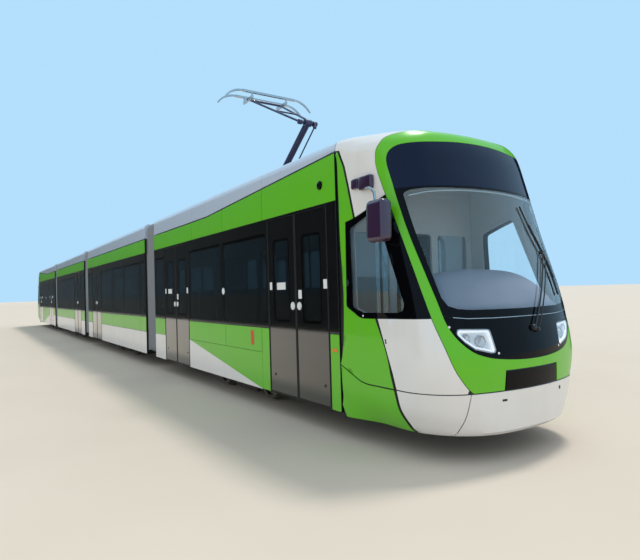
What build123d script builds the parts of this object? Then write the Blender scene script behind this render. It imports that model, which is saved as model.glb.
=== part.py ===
from build123d import *
import os
from math import atan2, cos, radians, sin, sqrt

os.makedirs("parts", exist_ok=True)

# Frame: +X along the tram towards the first cab, +Z up, millimetres.
# Height zero is the tips of the wheel flanges, and the rail's top lies flange_height above it.

# Lengths along the tram
nose_x = 18154
cab_seam_x = 16400
car_gap = 800
mid_car_length = 7740
articulation_x = 8540

# Body section
body_width = 2400
wall = 60
flange_height = 26
skirt_bottom = 306
floor_top = 406
window_bottom = 1226
window_top = 2806
ceiling = 2620
roof_deck = 2860
cantrail_top = 3146
cantrail_rise_start_x = 12270
cantrail_front_top = 3376
fairing_top = 3530
end_wall = 80
saloon_corner = 120

# Clearances
running_gap = 5
seat_gap = 0.3
pin_clearance = 0.05
panel_joint = 6

# Glass and doors
pane_thickness = 14
pane_corner = 50
pane_frame = 55
door_leaf_thickness = 45
door_leaf_width = 770
door_bottom = 336
door_top = 2770
door_lip = 60
door_pane_width = 450
door_pane_bottom = 1330
door_pane_top = 2480
door_pane_corner = 60

# Gangways between the cars
gangway_width = 1240
gangway_top = 2450
gangway_corner = 150
bellows_width = 2290
bellows_bottom = 330
bellows_top = 3480
bellows_wall = 45
bellows_pleat_depth = 45
bellows_pleats = 7
bellows_corner = 170

# Articulation pivot between two cars
pivot_plate_radius = 170
pivot_pin_radius = 60
pivot_plate_bottom = 306
pivot_plate_top = 348
gangway_disc_radius = 385

# Running gear
bogie_a_x = 12950
bogie_b_x = 4350
wheelbase = 1800
tread_radius = 300
flange_radius = tread_radius + flange_height
axle_z = flange_radius
back_to_back = 1366
wheel_width = 120
flange_thickness = 32
hub_radius = 95
axle_radius = 70
journal_radius = 55
journal_start_y = 835
journal_end_y = 925
beam_centre_y = 895
beam_thickness = 110
beam_half_length = 1050
beam_bottom = 300
beam_top = 440
ring_radius = 300
well_ceiling = 476
wheel_well_ceiling = 712
wheel_well_inner_y = 495
wheel_well_half_length = 1400
well_half_length = 1480
podium_shell = 50

# Roof
fairing_inner_y = 1060
fairing_outer_y = 1196
fairing_shadow = 22
fairing_round = 110
fairing_leg = 60

# Cab
cab_skin = 45
cab_glass_thickness = 15
cab_bottom = 270
cab_rear_wall = 40
skirt_split_z = 715
cab_floor_top = skirt_split_z
cab_doorway_width = 640
side_groove_width = 18
side_groove_depth = 8
tow_eye_x = 17900
tow_eye_radius = 22
tow_eye_depth = 40
glass_split_z = 1410
shield_gap = 4
shield_lip = 32

# Pantograph
pan_base_x = 12240
pan_pivot_z = 3346
pan_lower_length = 2124
pan_lower_angle = 36.4
pan_upper_length = 1707
pan_upper_angle = 28.5
pan_lower_radius = 55
pan_upper_radius = 19
pan_shaft_radius = 24
pan_head_radius = 23
pan_heel_length = 110
pan_heel_angle = -50
pan_link_base_x = 12430
pan_link_base_z = 3239
pan_link_y = 90
pan_link_radius = 12
pan_link_pin_radius = 8
pan_link_eye_radius = 25
pan_link_open_clearance = 8
pan_strip_half = 560
pan_horn_half = 930
pan_horn_drop = 190
pan_strip_spacing = 330

half_width = body_width / 2
inner_width = body_width - 2 * wall
car_a_rear = articulation_x + car_gap / 2
car_b_rear = car_gap / 2
car_b_front = car_b_rear + mid_car_length

# Doors of each car: centre x of each double doorway
doors_a = [15420, 10475]
doors_b = [1965]

# Window panes of each car: rear x, front x
panes_a = [(8966, 9685), (11265, 12940), (12946, 14630)]
panes_b = [(426, 1175), (2755, 4397), (4403, 5827), (5833, 7617), (7623, 8114)]


def write_piece(shape, name):
    """Label one sub-part and write it as its own file."""
    shape.label = name
    export_step(shape, f"parts/{name}.step")


def write_both_ends(shape, piece, near, far):
    """Write a sub-part of one car, and its twin on the car turned half round."""
    write_piece(shape, f"{near}_{piece}")
    write_piece(shape.rotate(Axis.Z, 180), f"{far}_{piece}")


def side_box(rear, front, low, high):
    """Rectangle in a side view, in the sketch that is open."""
    with Locations(((rear + front) / 2, (low + high) / 2)):
        Rectangle(front - rear, high - low)


def upright_box(rear, front, right, left, low, high, mode=Mode.ADD):
    """Box between two x, two y and two z, in the part that is open."""
    with Locations(((rear + front) / 2, (right + left) / 2, (low + high) / 2)):
        Box(front - rear, left - right, high - low, mode=mode)


def both_sides_box(rear, front, inner, outer, low, high, mode=Mode.ADD):
    """The same box on the right and on the left side."""
    upright_box(rear, front, inner, outer, low, high, mode)
    upright_box(rear, front, -outer, -inner, low, high, mode)


def rod(first, last, radius):
    """Round rod between two points, in the part that is open."""
    path = last - first
    with Locations(Plane(origin=(first + last) * 0.5, z_dir=path)):
        Cylinder(radius, path.length)


def door_edges(centre):
    """Rear and front x of a double doorway's leaves."""
    return centre - door_leaf_width - panel_joint / 2, centre + door_leaf_width + panel_joint / 2


def saloon_shell(rear, front, doors, panes, bogie_x, rising_cantrail):
    """Side walls, floor, ceiling and end walls of one car, with its openings."""
    length = front - rear
    with BuildPart() as shell:
        upright_box(rear, front, -half_width, half_width, skirt_bottom, cantrail_top)
        upright_box(rear, front, -inner_width / 2, inner_width / 2, roof_deck, cantrail_top, Mode.SUBTRACT)
        with BuildSketch(Plane.YZ.offset(rear + end_wall)):
            with Locations((0, (floor_top + ceiling) / 2)):
                RectangleRounded(inner_width, ceiling - floor_top, saloon_corner)
        extrude(amount=length - 2 * end_wall, mode=Mode.SUBTRACT)
        with BuildSketch(Plane.YZ.offset(rear)):
            with Locations((0, (floor_top + gangway_top) / 2)):
                RectangleRounded(gangway_width, gangway_top - floor_top, gangway_corner)
        extrude(amount=length, mode=Mode.SUBTRACT)
        # Raised floor over the bogie, and the podiums over its wheels
        upright_box(
            bogie_x - well_half_length - podium_shell,
            bogie_x + well_half_length + podium_shell,
            -inner_width / 2,
            inner_width / 2,
            floor_top - 1,
            well_ceiling + podium_shell,
        )
        both_sides_box(
            bogie_x - wheel_well_half_length - podium_shell,
            bogie_x + wheel_well_half_length + podium_shell,
            wheel_well_inner_y - podium_shell,
            inner_width / 2,
            floor_top,
            wheel_well_ceiling + podium_shell,
        )
        upright_box(
            bogie_x - well_half_length,
            bogie_x + well_half_length,
            -inner_width / 2,
            inner_width / 2,
            skirt_bottom,
            well_ceiling,
            Mode.SUBTRACT,
        )
        both_sides_box(
            bogie_x - wheel_well_half_length,
            bogie_x + wheel_well_half_length,
            wheel_well_inner_y,
            inner_width / 2,
            skirt_bottom,
            wheel_well_ceiling,
            Mode.SUBTRACT,
        )
        # Rebates and openings for the panes
        for pane_rear, pane_front in panes:
            both_sides_box(
                pane_rear,
                pane_front,
                half_width - pane_thickness,
                half_width,
                window_bottom,
                window_top,
                Mode.SUBTRACT,
            )
            with BuildSketch(Plane.XZ):
                with Locations(((pane_rear + pane_front) / 2, (window_bottom + ceiling) / 2)):
                    RectangleRounded(
                        pane_front - pane_rear - 2 * pane_frame,
                        ceiling - window_bottom - 2 * pane_frame,
                        pane_corner,
                    )
            extrude(amount=half_width, both=True, mode=Mode.SUBTRACT)
        # Rebates and openings for the doors
        for centre in doors:
            door_rear, door_front = door_edges(centre)
            both_sides_box(
                door_rear - panel_joint,
                door_front + panel_joint,
                half_width - door_leaf_thickness,
                half_width,
                door_bottom,
                door_top + panel_joint,
                Mode.SUBTRACT,
            )
            with BuildSketch(Plane.XZ):
                side_box(door_rear + door_lip, door_front - door_lip, floor_top, ceiling - door_lip)
            extrude(amount=half_width, both=True, mode=Mode.SUBTRACT)
        if rising_cantrail:
            with BuildSketch(Plane.XZ):
                with BuildLine():
                    Polyline(
                        (cantrail_rise_start_x, cantrail_top - 1),
                        (cantrail_rise_start_x, cantrail_top),
                        (front, cantrail_front_top),
                        (front, cantrail_top - 1),
                        close=True,
                    )
                make_face()
            extrude(amount=half_width, both=True)
            upright_box(
                rear, front, -inner_width / 2, inner_width / 2, roof_deck, cantrail_front_top, Mode.SUBTRACT
            )
    return shell.part


def pin_plate(pivot, towards_car):
    """Gangway floor disc with the articulation's pin below it, fixed to this car's end."""
    low = pivot_plate_top + running_gap
    with Locations((pivot, 0, (low + floor_top) / 2)):
        Cylinder(gangway_disc_radius, floor_top - low)
    end = pivot + towards_car * (car_gap / 2 + end_wall)
    rear, front = min(pivot, end), max(pivot, end)
    upright_box(rear, front, -gangway_disc_radius, gangway_disc_radius, low, floor_top)
    with Locations((pivot, 0, (pivot_plate_bottom + low) / 2)):
        Cylinder(pivot_pin_radius, low - pivot_plate_bottom)


def bore_plate(pivot, towards_car):
    """Lower plate with the bore that turns on the articulation's pin."""
    middle = (pivot_plate_bottom + pivot_plate_top) / 2
    height = pivot_plate_top - pivot_plate_bottom
    with Locations((pivot, 0, middle)):
        Cylinder(pivot_plate_radius, height)
    end = pivot + towards_car * (car_gap / 2 + end_wall)
    rear, front = min(pivot, end), max(pivot, end)
    upright_box(
        rear, front, -pivot_plate_radius, pivot_plate_radius, pivot_plate_bottom, pivot_plate_top
    )
    with Locations((pivot, 0, middle)):
        Cylinder(pivot_pin_radius + pin_clearance, height, mode=Mode.SUBTRACT)


def glazing(doors, panes):
    """All window panes and door panes of one car."""
    with BuildPart() as glass:
        for pane_rear, pane_front in panes:
            both_sides_box(
                pane_rear + panel_joint / 2,
                pane_front - panel_joint / 2,
                half_width - pane_thickness,
                half_width,
                window_bottom + panel_joint / 2,
                window_top - panel_joint / 2,
            )
        for centre in doors:
            for leaf_centre in leaf_centres(centre):
                with BuildSketch(Plane.XZ.offset(-half_width)):
                    with Locations((leaf_centre, (door_pane_bottom + door_pane_top) / 2)):
                        RectangleRounded(
                            door_pane_width, door_pane_top - door_pane_bottom, door_pane_corner
                        )
                extrude(amount=pane_thickness)
                with BuildSketch(Plane.XZ.offset(half_width)):
                    with Locations((leaf_centre, (door_pane_bottom + door_pane_top) / 2)):
                        RectangleRounded(
                            door_pane_width, door_pane_top - door_pane_bottom, door_pane_corner
                        )
                extrude(amount=-pane_thickness)
    return glass.part


def leaf_centres(centre):
    """Centre x of the two leaves of a double doorway."""
    shift = (door_leaf_width + panel_joint) / 2
    return centre - shift, centre + shift


def door_leaves(doors):
    """Door leaves of one car on both sides, each with its glass opening."""
    with BuildPart() as leaves:
        for centre in doors:
            for leaf_centre in leaf_centres(centre):
                rear = leaf_centre - door_leaf_width / 2
                front = leaf_centre + door_leaf_width / 2
                both_sides_box(
                    rear, front, half_width - door_leaf_thickness, half_width, door_bottom, door_top
                )
                middle = (door_pane_bottom + door_pane_top) / 2
                height = door_pane_top - door_pane_bottom
                with BuildSketch(Plane.XZ):
                    with Locations((leaf_centre, middle)):
                        RectangleRounded(
                            door_pane_width - 2 * pane_frame / 2,
                            height - 2 * pane_frame / 2,
                            door_pane_corner / 2,
                        )
                extrude(amount=half_width, both=True, mode=Mode.SUBTRACT)
                with BuildSketch(Plane.XZ.offset(-half_width)):
                    with Locations((leaf_centre, middle)):
                        RectangleRounded(door_pane_width, height, door_pane_corner)
                extrude(amount=pane_thickness, mode=Mode.SUBTRACT)
                with BuildSketch(Plane.XZ.offset(half_width)):
                    with Locations((leaf_centre, middle)):
                        RectangleRounded(door_pane_width, height, door_pane_corner)
                extrude(amount=-pane_thickness, mode=Mode.SUBTRACT)
    return leaves.part


def fairings(seams, rising_cantrail):
    """Roof side panels of one car between the given seams."""
    low = cantrail_top + fairing_shadow
    with BuildPart() as panels:
        for rear, front in zip(seams, seams[1:]):
            with BuildSketch(Plane.YZ.offset(rear + panel_joint / 2)) as section:
                with BuildLine():
                    Polyline(
                        (fairing_inner_y, roof_deck),
                        (fairing_inner_y + fairing_leg, roof_deck),
                        (fairing_inner_y + fairing_leg, low),
                        (fairing_outer_y, low),
                        (fairing_outer_y - 4, fairing_top - fairing_round),
                    )
                    RadiusArc(
                        (fairing_outer_y - 4, fairing_top - fairing_round),
                        (fairing_outer_y - 4 - fairing_round, fairing_top),
                        -fairing_round,
                    )
                    Polyline(
                        (fairing_outer_y - 4 - fairing_round, fairing_top),
                        (fairing_inner_y, fairing_top),
                        (fairing_inner_y, roof_deck),
                    )
                make_face()
                mirror(about=Plane.YZ)
            extrude(amount=front - rear - panel_joint)
        if rising_cantrail:
            for side in (1, -1):
                with BuildSketch(Plane.XZ.offset(-side * (fairing_inner_y + fairing_leg))):
                    with BuildLine():
                        Polyline(
                            (cantrail_rise_start_x, low - 1),
                            (cantrail_rise_start_x, low),
                            (seams[-1], cantrail_front_top + fairing_shadow),
                            (seams[-1], low - 1),
                            close=True,
                        )
                    make_face()
                extrude(amount=-side * wall * 3, mode=Mode.SUBTRACT)
    return panels.part


def roof_unit(centre_x, length, width, height, fans):
    """One equipment box on the roof deck, with its fans and louvres."""
    top = roof_deck + height
    upright_box(
        centre_x - length / 2, centre_x + length / 2, -width / 2, width / 2, roof_deck, top
    )
    for fan in range(fans):
        fan_x = centre_x + (fan - (fans - 1) / 2) * length / fans
        with Locations((fan_x, 0, top)):
            Cylinder(270, 60)
        with Locations((fan_x, 0, top + 15)):
            Cylinder(235, 40, mode=Mode.SUBTRACT)
        with Locations((fan_x, 0, top)):
            Cylinder(60, 50)
            Box(500, 24, 40)
            Box(24, 500, 40)
    if not fans:
        ribs = 7
        for rib in range(ribs):
            rib_x = centre_x + (rib - (ribs - 1) / 2) * length / ribs
            with Locations((rib_x, 0, top)):
                Box(length / ribs * 0.5, width * 0.8, 36)


def roof_units(rows):
    """Roof equipment of one car: rows of centre x, length, width, height, fans."""
    with BuildPart() as units:
        for row in rows:
            roof_unit(*row)
    return units.part


# Roof equipment: centre x, length, width, height, fans
units_a = [
    (9850, 1500, 1900, 480, 2),
    (15350, 1650, 1900, 480, 2),
]
units_b = [
    (1500, 1800, 1900, 470, 2),
    (3700, 1500, 1800, 430, 0),
    (5500, 1500, 1700, 380, 0),
    (7150, 1300, 1900, 430, 0),
]

# Seats
seat_width = 880
seat_depth = 430
seat_height = 430
seat_back_height = 620
seat_cushion = 60
pole_radius = 17.5


def seat_pair(x, side, facing, floor):
    """Double seat on its pedestal against one side wall, facing along x."""
    outer = inner_width / 2 - 20
    inner = outer - seat_width
    right, left = (inner, outer) if side > 0 else (-outer, -inner)
    low = floor + seat_height - seat_cushion
    upright_box(x - seat_depth / 2, x + seat_depth / 2, right, left, low, floor + seat_height)
    back_x = x - facing * seat_depth / 2
    back_rear, back_front = min(back_x, back_x - facing * 60), max(back_x, back_x - facing * 60)
    upright_box(back_rear, back_front, right, left, low, floor + seat_height + seat_back_height)
    pedestal_y = side * (outer - seat_width / 2)
    upright_box(x - 120, x + 120, pedestal_y - 90, pedestal_y + 90, floor, low)


def interior(seat_rows, pole_rows):
    """Seats and grab poles of one car."""
    with BuildPart() as fittings:
        for x, facing, floor in seat_rows:
            for side in (1, -1):
                seat_pair(x, side, facing, floor)
        for x, y, floor in pole_rows:
            with Locations((x, y, (floor + ceiling) / 2)):
                Cylinder(pole_radius, ceiling - floor)
    return fittings.part


podium_floor = wheel_well_ceiling + podium_shell
raised_floor = well_ceiling + podium_shell

# Seat rows: x, facing, floor height
seats_a = [
    (9330, 1, floor_top),
    (bogie_a_x - 1050, 1, podium_floor),
    (bogie_a_x - 200, 1, podium_floor),
    (bogie_a_x + 950, -1, podium_floor),
]
seats_b = [
    (830, 1, floor_top),
    (bogie_b_x - 1050, 1, podium_floor),
    (bogie_b_x - 200, 1, podium_floor),
    (bogie_b_x + 950, -1, podium_floor),
    (6300, 1, floor_top),
    (7150, 1, floor_top),
    (7720, -1, floor_top),
]

# Grab poles: x, y, floor height
poles_a = [
    (doors_a[0] - 850, 420, floor_top),
    (doors_a[0] - 850, -420, floor_top),
    (doors_a[0] + 840, 420, floor_top),
    (doors_a[0] + 840, -420, floor_top),
    (doors_a[1] + 820, 420, floor_top),
    (doors_a[1] + 820, -420, floor_top),
]
poles_b = [
    (doors_b[0] + 820, 420, floor_top),
    (doors_b[0] + 820, -420, floor_top),
    (doors_b[0] - 820, 420, floor_top),
    (doors_b[0] - 820, -420, floor_top),
]


# Cab sections: z, half width, nose x, front radius, corner radius, lean of the skin's normal
cab_levels = [
    (cab_bottom, 1060, nose_x - 70, 2700, 790, 0),
    (cab_bottom + 36, 1096, nose_x - 34, 2690, 790, 0),
    (560, 1196, nose_x - 22, 2680, 670, 0),
    (960, 1200, nose_x, 2660, 436, 0),
    (1450, 1200, nose_x - 80, 2690, 400, 0),
    (2400, 1198, nose_x - 355, 2800, 530, 0),
    (3000, 1196, nose_x - 530, 3130, 574, 0),
    (3300, 1188, nose_x - 623, 3290, 595, 0.2),
    (3440, 1090, nose_x - 705, 3370, 600, 0.6),
    (3505, 975, nose_x - 890, 3400, 600, 0.9),
    (fairing_top, 860, nose_x - 1150, 3400, 540, 1),
]


def cab_section(level, inset, rear):
    """Plan outline of the cab at one level: straight sides, corner arcs and a front arc."""
    z, half, nose, front_radius, corner_radius, lean = level
    centre_x = nose - front_radius
    corner_y = half - corner_radius
    corner_x = centre_x + sqrt((front_radius - corner_radius) ** 2 - corner_y**2)
    heading = atan2(corner_y, corner_x - centre_x)
    front = front_radius - inset
    corner = corner_radius - inset
    side = half - inset
    meet = (centre_x + front * cos(heading), front * sin(heading))
    bisector = (heading + radians(90)) / 2
    on_corner = (corner_x + corner * cos(bisector), corner_y + corner * sin(bisector))
    with BuildSketch(Plane.XY.offset(z - inset * lean)) as outline:
        with BuildLine():
            Line((rear, -side), (corner_x, -side))
            ThreePointArc((corner_x, -side), (on_corner[0], -on_corner[1]), (meet[0], -meet[1]))
            ThreePointArc((meet[0], -meet[1]), (nose - inset, 0), meet)
            ThreePointArc(meet, on_corner, (corner_x, side))
            Line((corner_x, side), (rear, side))
            Line((rear, side), (rear, -side))
        make_face()
    return outline.sketch.faces()[0]


def cab_form(inset, rear):
    """Solid inside the cab's outer surface, moved inwards by an inset."""
    sections = [cab_section(level, inset, rear) for level in cab_levels]
    with BuildPart() as form:
        loft(sections=sections, ruled=True)
    return form.part


cab_outer = cab_form(0, cab_seam_x)
cab_glass_seat = cab_form(cab_glass_thickness, cab_seam_x)
cab_inner = cab_form(cab_skin, cab_seam_x)

# Shield outline in front view, one half, as arcs: start, middle and end as y, z
shield_arcs = [
    ((0, 3360), (380, 3345), (760, 3292)),
    ((760, 3292), (1030, 3238), (1112, 3120)),
    ((1112, 3120), (1104, 2450), (1023, 1524)),
    ((1023, 1524), (930, 1206), (700, 1044)),
    ((700, 1044), (355, 1004), (0, 996)),
]

# Side window outline: x, z
side_window = [
    (16570, 2526),
    (16960, 2616),
    (17245, 2735),
    (17775, 1442),
    (16830, 1424),
    (16560, 1546),
]

# Black groove down the cab's side, under the side window: x, z of its front edge
side_groove = [(17100, 1440), (17320, 860), (17505, cab_bottom - 20)]

# Joint of the skirt behind that groove, which rises towards the saloon: x, z of its upper edge
skirt_rise = [(cab_seam_x, 880), (16620, 790), (16800, skirt_split_z + panel_joint)]


def shield_prism(shrink):
    """Prism through the nose in the shield's outline, made smaller all round."""
    with BuildPart() as prism:
        with BuildSketch(Plane.YZ.offset(cab_seam_x + 200)):
            with BuildLine():
                for start, middle, end in shield_arcs:
                    ThreePointArc(start, middle, end)
                mirror(about=Plane.YZ)
            make_face()
            if shrink:
                offset(amount=-shrink, mode=Mode.REPLACE)
        extrude(amount=nose_x - cab_seam_x)
    return prism.part


def window_prism(shrink):
    """Prism across the cab in the side window's outline, made smaller all round."""
    with BuildPart() as prism:
        with BuildSketch(Plane.XZ):
            with BuildLine():
                Polyline(*side_window, close=True)
            make_face()
            if shrink:
                offset(amount=-shrink, mode=Mode.REPLACE)
        extrude(amount=half_width + cab_skin, both=True)
    return prism.part


# Headlamp outline in front view, right-hand lamp: y, z
lamp_outline = [
    (525, 1314),
    (890, 1318),
    (940, 1262),
    (900, 1200),
    (790, 1130),
    (548, 1086),
]
lamp_corner = 24

# Coupler cover outline in front view, one half: y, z
coupler_half = [(0, 902), (415, 902), (465, 716), (0, 716)]


def lamp_prism(side, shrink):
    """Prism through the lamp panel in one headlamp's outline."""
    with BuildPart() as prism:
        with BuildSketch(Plane.YZ.offset(cab_seam_x + 200)) as outline:
            with BuildLine():
                Polyline(*[(side * y, z) for y, z in lamp_outline], close=True)
            make_face()
            fillet(outline.vertices(), lamp_corner)
            if shrink:
                offset(amount=-shrink, mode=Mode.REPLACE)
        extrude(amount=nose_x - cab_seam_x)
    return prism.part


def coupler_prism(shrink):
    """Prism through the nose in the coupler cover's outline."""
    with BuildPart() as prism:
        with BuildSketch(Plane.YZ.offset(cab_seam_x + 200)):
            with BuildLine():
                Polyline(*coupler_half)
                mirror(about=Plane.YZ)
            make_face()
            if shrink:
                offset(amount=-shrink, mode=Mode.REPLACE)
        extrude(amount=nose_x - cab_seam_x)
    return prism.part


def recess(prism, floor_form):
    """Part of a prism that lies outside a form, so that cutting it stops at that form."""
    return prism - floor_form


shield_recess = recess(shield_prism(0), cab_glass_seat)
shield_opening = recess(shield_prism(shield_lip), cab_inner)
window_recess = recess(window_prism(0), cab_glass_seat)
window_opening = recess(window_prism(shield_lip), cab_inner)

with BuildPart() as cab_room:
    add(cab_inner)
    upright_box(0, nose_x, -half_width, half_width, 0, cab_floor_top, Mode.SUBTRACT)
    upright_box(
        0, cab_seam_x + cab_rear_wall, -half_width, half_width, 0, fairing_top + 100, Mode.SUBTRACT
    )

with BuildPart() as cab_body:
    add(cab_outer)
    add(cab_room.part, mode=Mode.SUBTRACT)
    add(shield_recess, mode=Mode.SUBTRACT)
    add(shield_opening, mode=Mode.SUBTRACT)
    add(window_recess, mode=Mode.SUBTRACT)
    add(window_opening, mode=Mode.SUBTRACT)
    add(recess(coupler_prism(0), cab_glass_seat), mode=Mode.SUBTRACT)
    upright_box(
        cab_seam_x,
        cab_seam_x + cab_rear_wall,
        -cab_doorway_width / 2,
        cab_doorway_width / 2,
        cab_floor_top,
        gangway_top,
        Mode.SUBTRACT,
    )

with BuildPart() as groove_slot:
    with BuildSketch(Plane.XZ):
        for edge, back, down in ((side_groove, side_groove_width, 0), (skirt_rise, 0, panel_joint)):
            with BuildLine():
                Polyline(*edge, *[(x - back, z - down) for x, z in reversed(edge)], close=True)
            make_face()
    extrude(amount=half_width, both=True)

groove_floor = cab_form(side_groove_depth, cab_seam_x)
cab_grooves = recess(groove_slot.part, groove_floor)

with BuildPart() as cab_shell:
    add(cab_body.part)
    upright_box(cab_seam_x, nose_x, -half_width, half_width, 0, skirt_split_z, Mode.SUBTRACT)
    add(cab_grooves, mode=Mode.SUBTRACT)

with BuildPart() as cab_skirt:
    add(cab_body.part)
    upright_box(
        cab_seam_x, nose_x, -half_width, half_width, skirt_split_z, fairing_top, Mode.SUBTRACT
    )
    add(cab_grooves, mode=Mode.SUBTRACT)
    # Towing eye
    with Locations((tow_eye_x, 0, cab_bottom + tow_eye_depth / 2)):
        Cylinder(tow_eye_radius, tow_eye_depth, mode=Mode.SUBTRACT)

shield_glass = (shield_prism(shield_gap) & cab_outer) - cab_glass_seat

with BuildPart() as cab_glass:
    add(shield_glass)
    upright_box(
        cab_seam_x, nose_x + 1, -half_width, half_width, 0, glass_split_z + panel_joint, Mode.SUBTRACT
    )
    add((window_prism(shield_gap) & cab_outer) - cab_glass_seat)

# Black gloss panels of the nose: the lamp panel and, apart from it, the coupler cover
with BuildPart() as lamp_panel:
    add(shield_glass)
    upright_box(
        cab_seam_x, nose_x + 1, -half_width, half_width, glass_split_z, fairing_top, Mode.SUBTRACT
    )
    for side in (1, -1):
        add(lamp_prism(side, 0), mode=Mode.SUBTRACT)
    add((coupler_prism(shield_gap) & cab_outer) - cab_glass_seat)

with BuildPart() as headlamps:
    for side in (1, -1):
        add((lamp_prism(side, seat_gap) & cab_outer) - cab_glass_seat)


# Cab fittings: desk, driver's seat, destination display
desk_rear_x = 17120
desk_top = 1330
driver_x = 16780
display_x = 17060

with BuildPart() as cab_interior:
    # Desk under the windscreen
    upright_box(desk_rear_x, nose_x, -half_width, half_width, cab_floor_top, desk_top)
    upright_box(
        desk_rear_x, desk_rear_x + 260, -330, 330, cab_floor_top, desk_top - 90, Mode.SUBTRACT
    )
    # Header across the cab that carries the destination display
    upright_box(display_x - 60, display_x + 20, -half_width, half_width, 3190, 3290)
    upright_box(display_x + 20, display_x + 80, -720, 720, 3030, 3290)
    add(cab_form(cab_skin + seat_gap, cab_seam_x), mode=Mode.INTERSECT)
    # Driver's seat
    upright_box(driver_x - 90, driver_x + 90, -90, 90, cab_floor_top, 1060)
    upright_box(driver_x - 240, driver_x + 240, -250, 250, 1060, 1170)
    upright_box(driver_x - 300, driver_x - 210, -240, 240, 1060, 1820)
    upright_box(driver_x - 295, driver_x - 225, -130, 130, 1820, 2010)

# Mirrors: housing hung from an arm above each side window
mirror_x = 17340
mirror_y = half_width + 120
mirror_low = 2230
mirror_high = 2720
arm_z = 2905
mirror_base = 40
arm_x = 17040

with BuildPart() as mirrors:
    for side in (1, -1):
        with BuildSketch(Plane.XY.offset(mirror_low)):
            with Locations((mirror_x, side * mirror_y)):
                RectangleRounded(200, 130, 45)
        extrude(amount=mirror_high - mirror_low)
        with BuildSketch(Plane.XZ.offset(-side * (half_width - cab_skin))):
            with Locations((arm_x - 130, arm_z), (arm_x + 90, arm_z + 10)):
                RectangleRounded(150, 140, 20)
            with Locations((arm_x - 20, arm_z)):
                Rectangle(220, 60)
        extrude(amount=-side * (cab_skin + mirror_base))
        arm = [
            (arm_x + 90, side * (half_width + 20), arm_z - 40),
            (mirror_x - 90, side * mirror_y, arm_z - 60),
            (mirror_x, side * mirror_y, mirror_high - 5),
        ]
        for first, last in zip(arm, arm[1:]):
            path = Vector(*last) - Vector(*first)
            with BuildSketch(Plane(origin=first, z_dir=path)):
                Circle(14)
            extrude(amount=path.length)
        with Locations(arm[1]):
            Sphere(14)
    add(cab_outer, mode=Mode.SUBTRACT)

# Wiper: spindle on the lamp panel, two arms, and the blade along the windscreen's left edge
wiper_proud = 62
wiper_radius = 12
spindle_radius = 32
wiper_path = [(0, 1352), (418, 1790), (905, 2130)]
blade_ends = [(925, 2060), (825, 2750)]


def on_nose(y, z, proud):
    """Point in front of the nose surface at a given y and z."""
    for low, high in zip(cab_levels, cab_levels[1:]):
        if low[0] <= z <= high[0]:
            share = (z - low[0]) / (high[0] - low[0])
            nose = low[2] + share * (high[2] - low[2])
            radius = low[3] + share * (high[3] - low[3])
    return Vector(nose - radius + sqrt(radius**2 - y**2) + proud, y, z)


with BuildPart() as wiper:
    points = [on_nose(y, z, wiper_proud) for y, z in wiper_path]
    rod(points[0] - Vector(wiper_proud + 30, 0, 0), points[0] + Vector(14, 0, 0), spindle_radius)
    add(cab_outer, mode=Mode.SUBTRACT)
    for first, last in zip(points, points[1:]):
        rod(first, last, wiper_radius)
        with Locations(Plane(origin=last, z_dir=(1, 0, 0.4))):
            Cylinder(wiper_radius * 1.6, wiper_radius * 2.4)
    rod(on_nose(*blade_ends[0], wiper_proud), on_nose(*blade_ends[1], wiper_proud), wiper_radius)


# Bellows
def bellows(centre_x):
    """Pleated tube between two cars."""
    length = car_gap - 2 * seat_gap
    pitch = length / bellows_pleats
    rear = centre_x - length / 2
    middle_z = (bellows_bottom + bellows_top) / 2
    height = bellows_top - bellows_bottom
    valley = 2 * bellows_pleat_depth
    with BuildPart() as tube:
        with BuildSketch(Plane.YZ.offset(rear)):
            with Locations((0, middle_z)):
                RectangleRounded(bellows_width - valley, height - valley, bellows_corner)
        extrude(amount=length)
        for pleat in range(bellows_pleats):
            with BuildSketch(Plane.YZ.offset(rear + pitch * (pleat + 0.2))):
                with Locations((0, middle_z)):
                    RectangleRounded(bellows_width, height, bellows_corner)
            extrude(amount=pitch * 0.6)
        inner = valley + 2 * bellows_wall
        with BuildSketch(Plane.YZ.offset(rear)):
            with Locations((0, middle_z)):
                RectangleRounded(bellows_width - inner, height - inner, bellows_corner)
        extrude(amount=length, mode=Mode.SUBTRACT)
        # The tube is open at the foot, where the gangway floor and the pivot lie
        upright_box(
            rear,
            rear + length,
            -(bellows_width - inner) / 2,
            (bellows_width - inner) / 2,
            bellows_bottom,
            middle_z,
            Mode.SUBTRACT,
        )
    return tube.part


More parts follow.
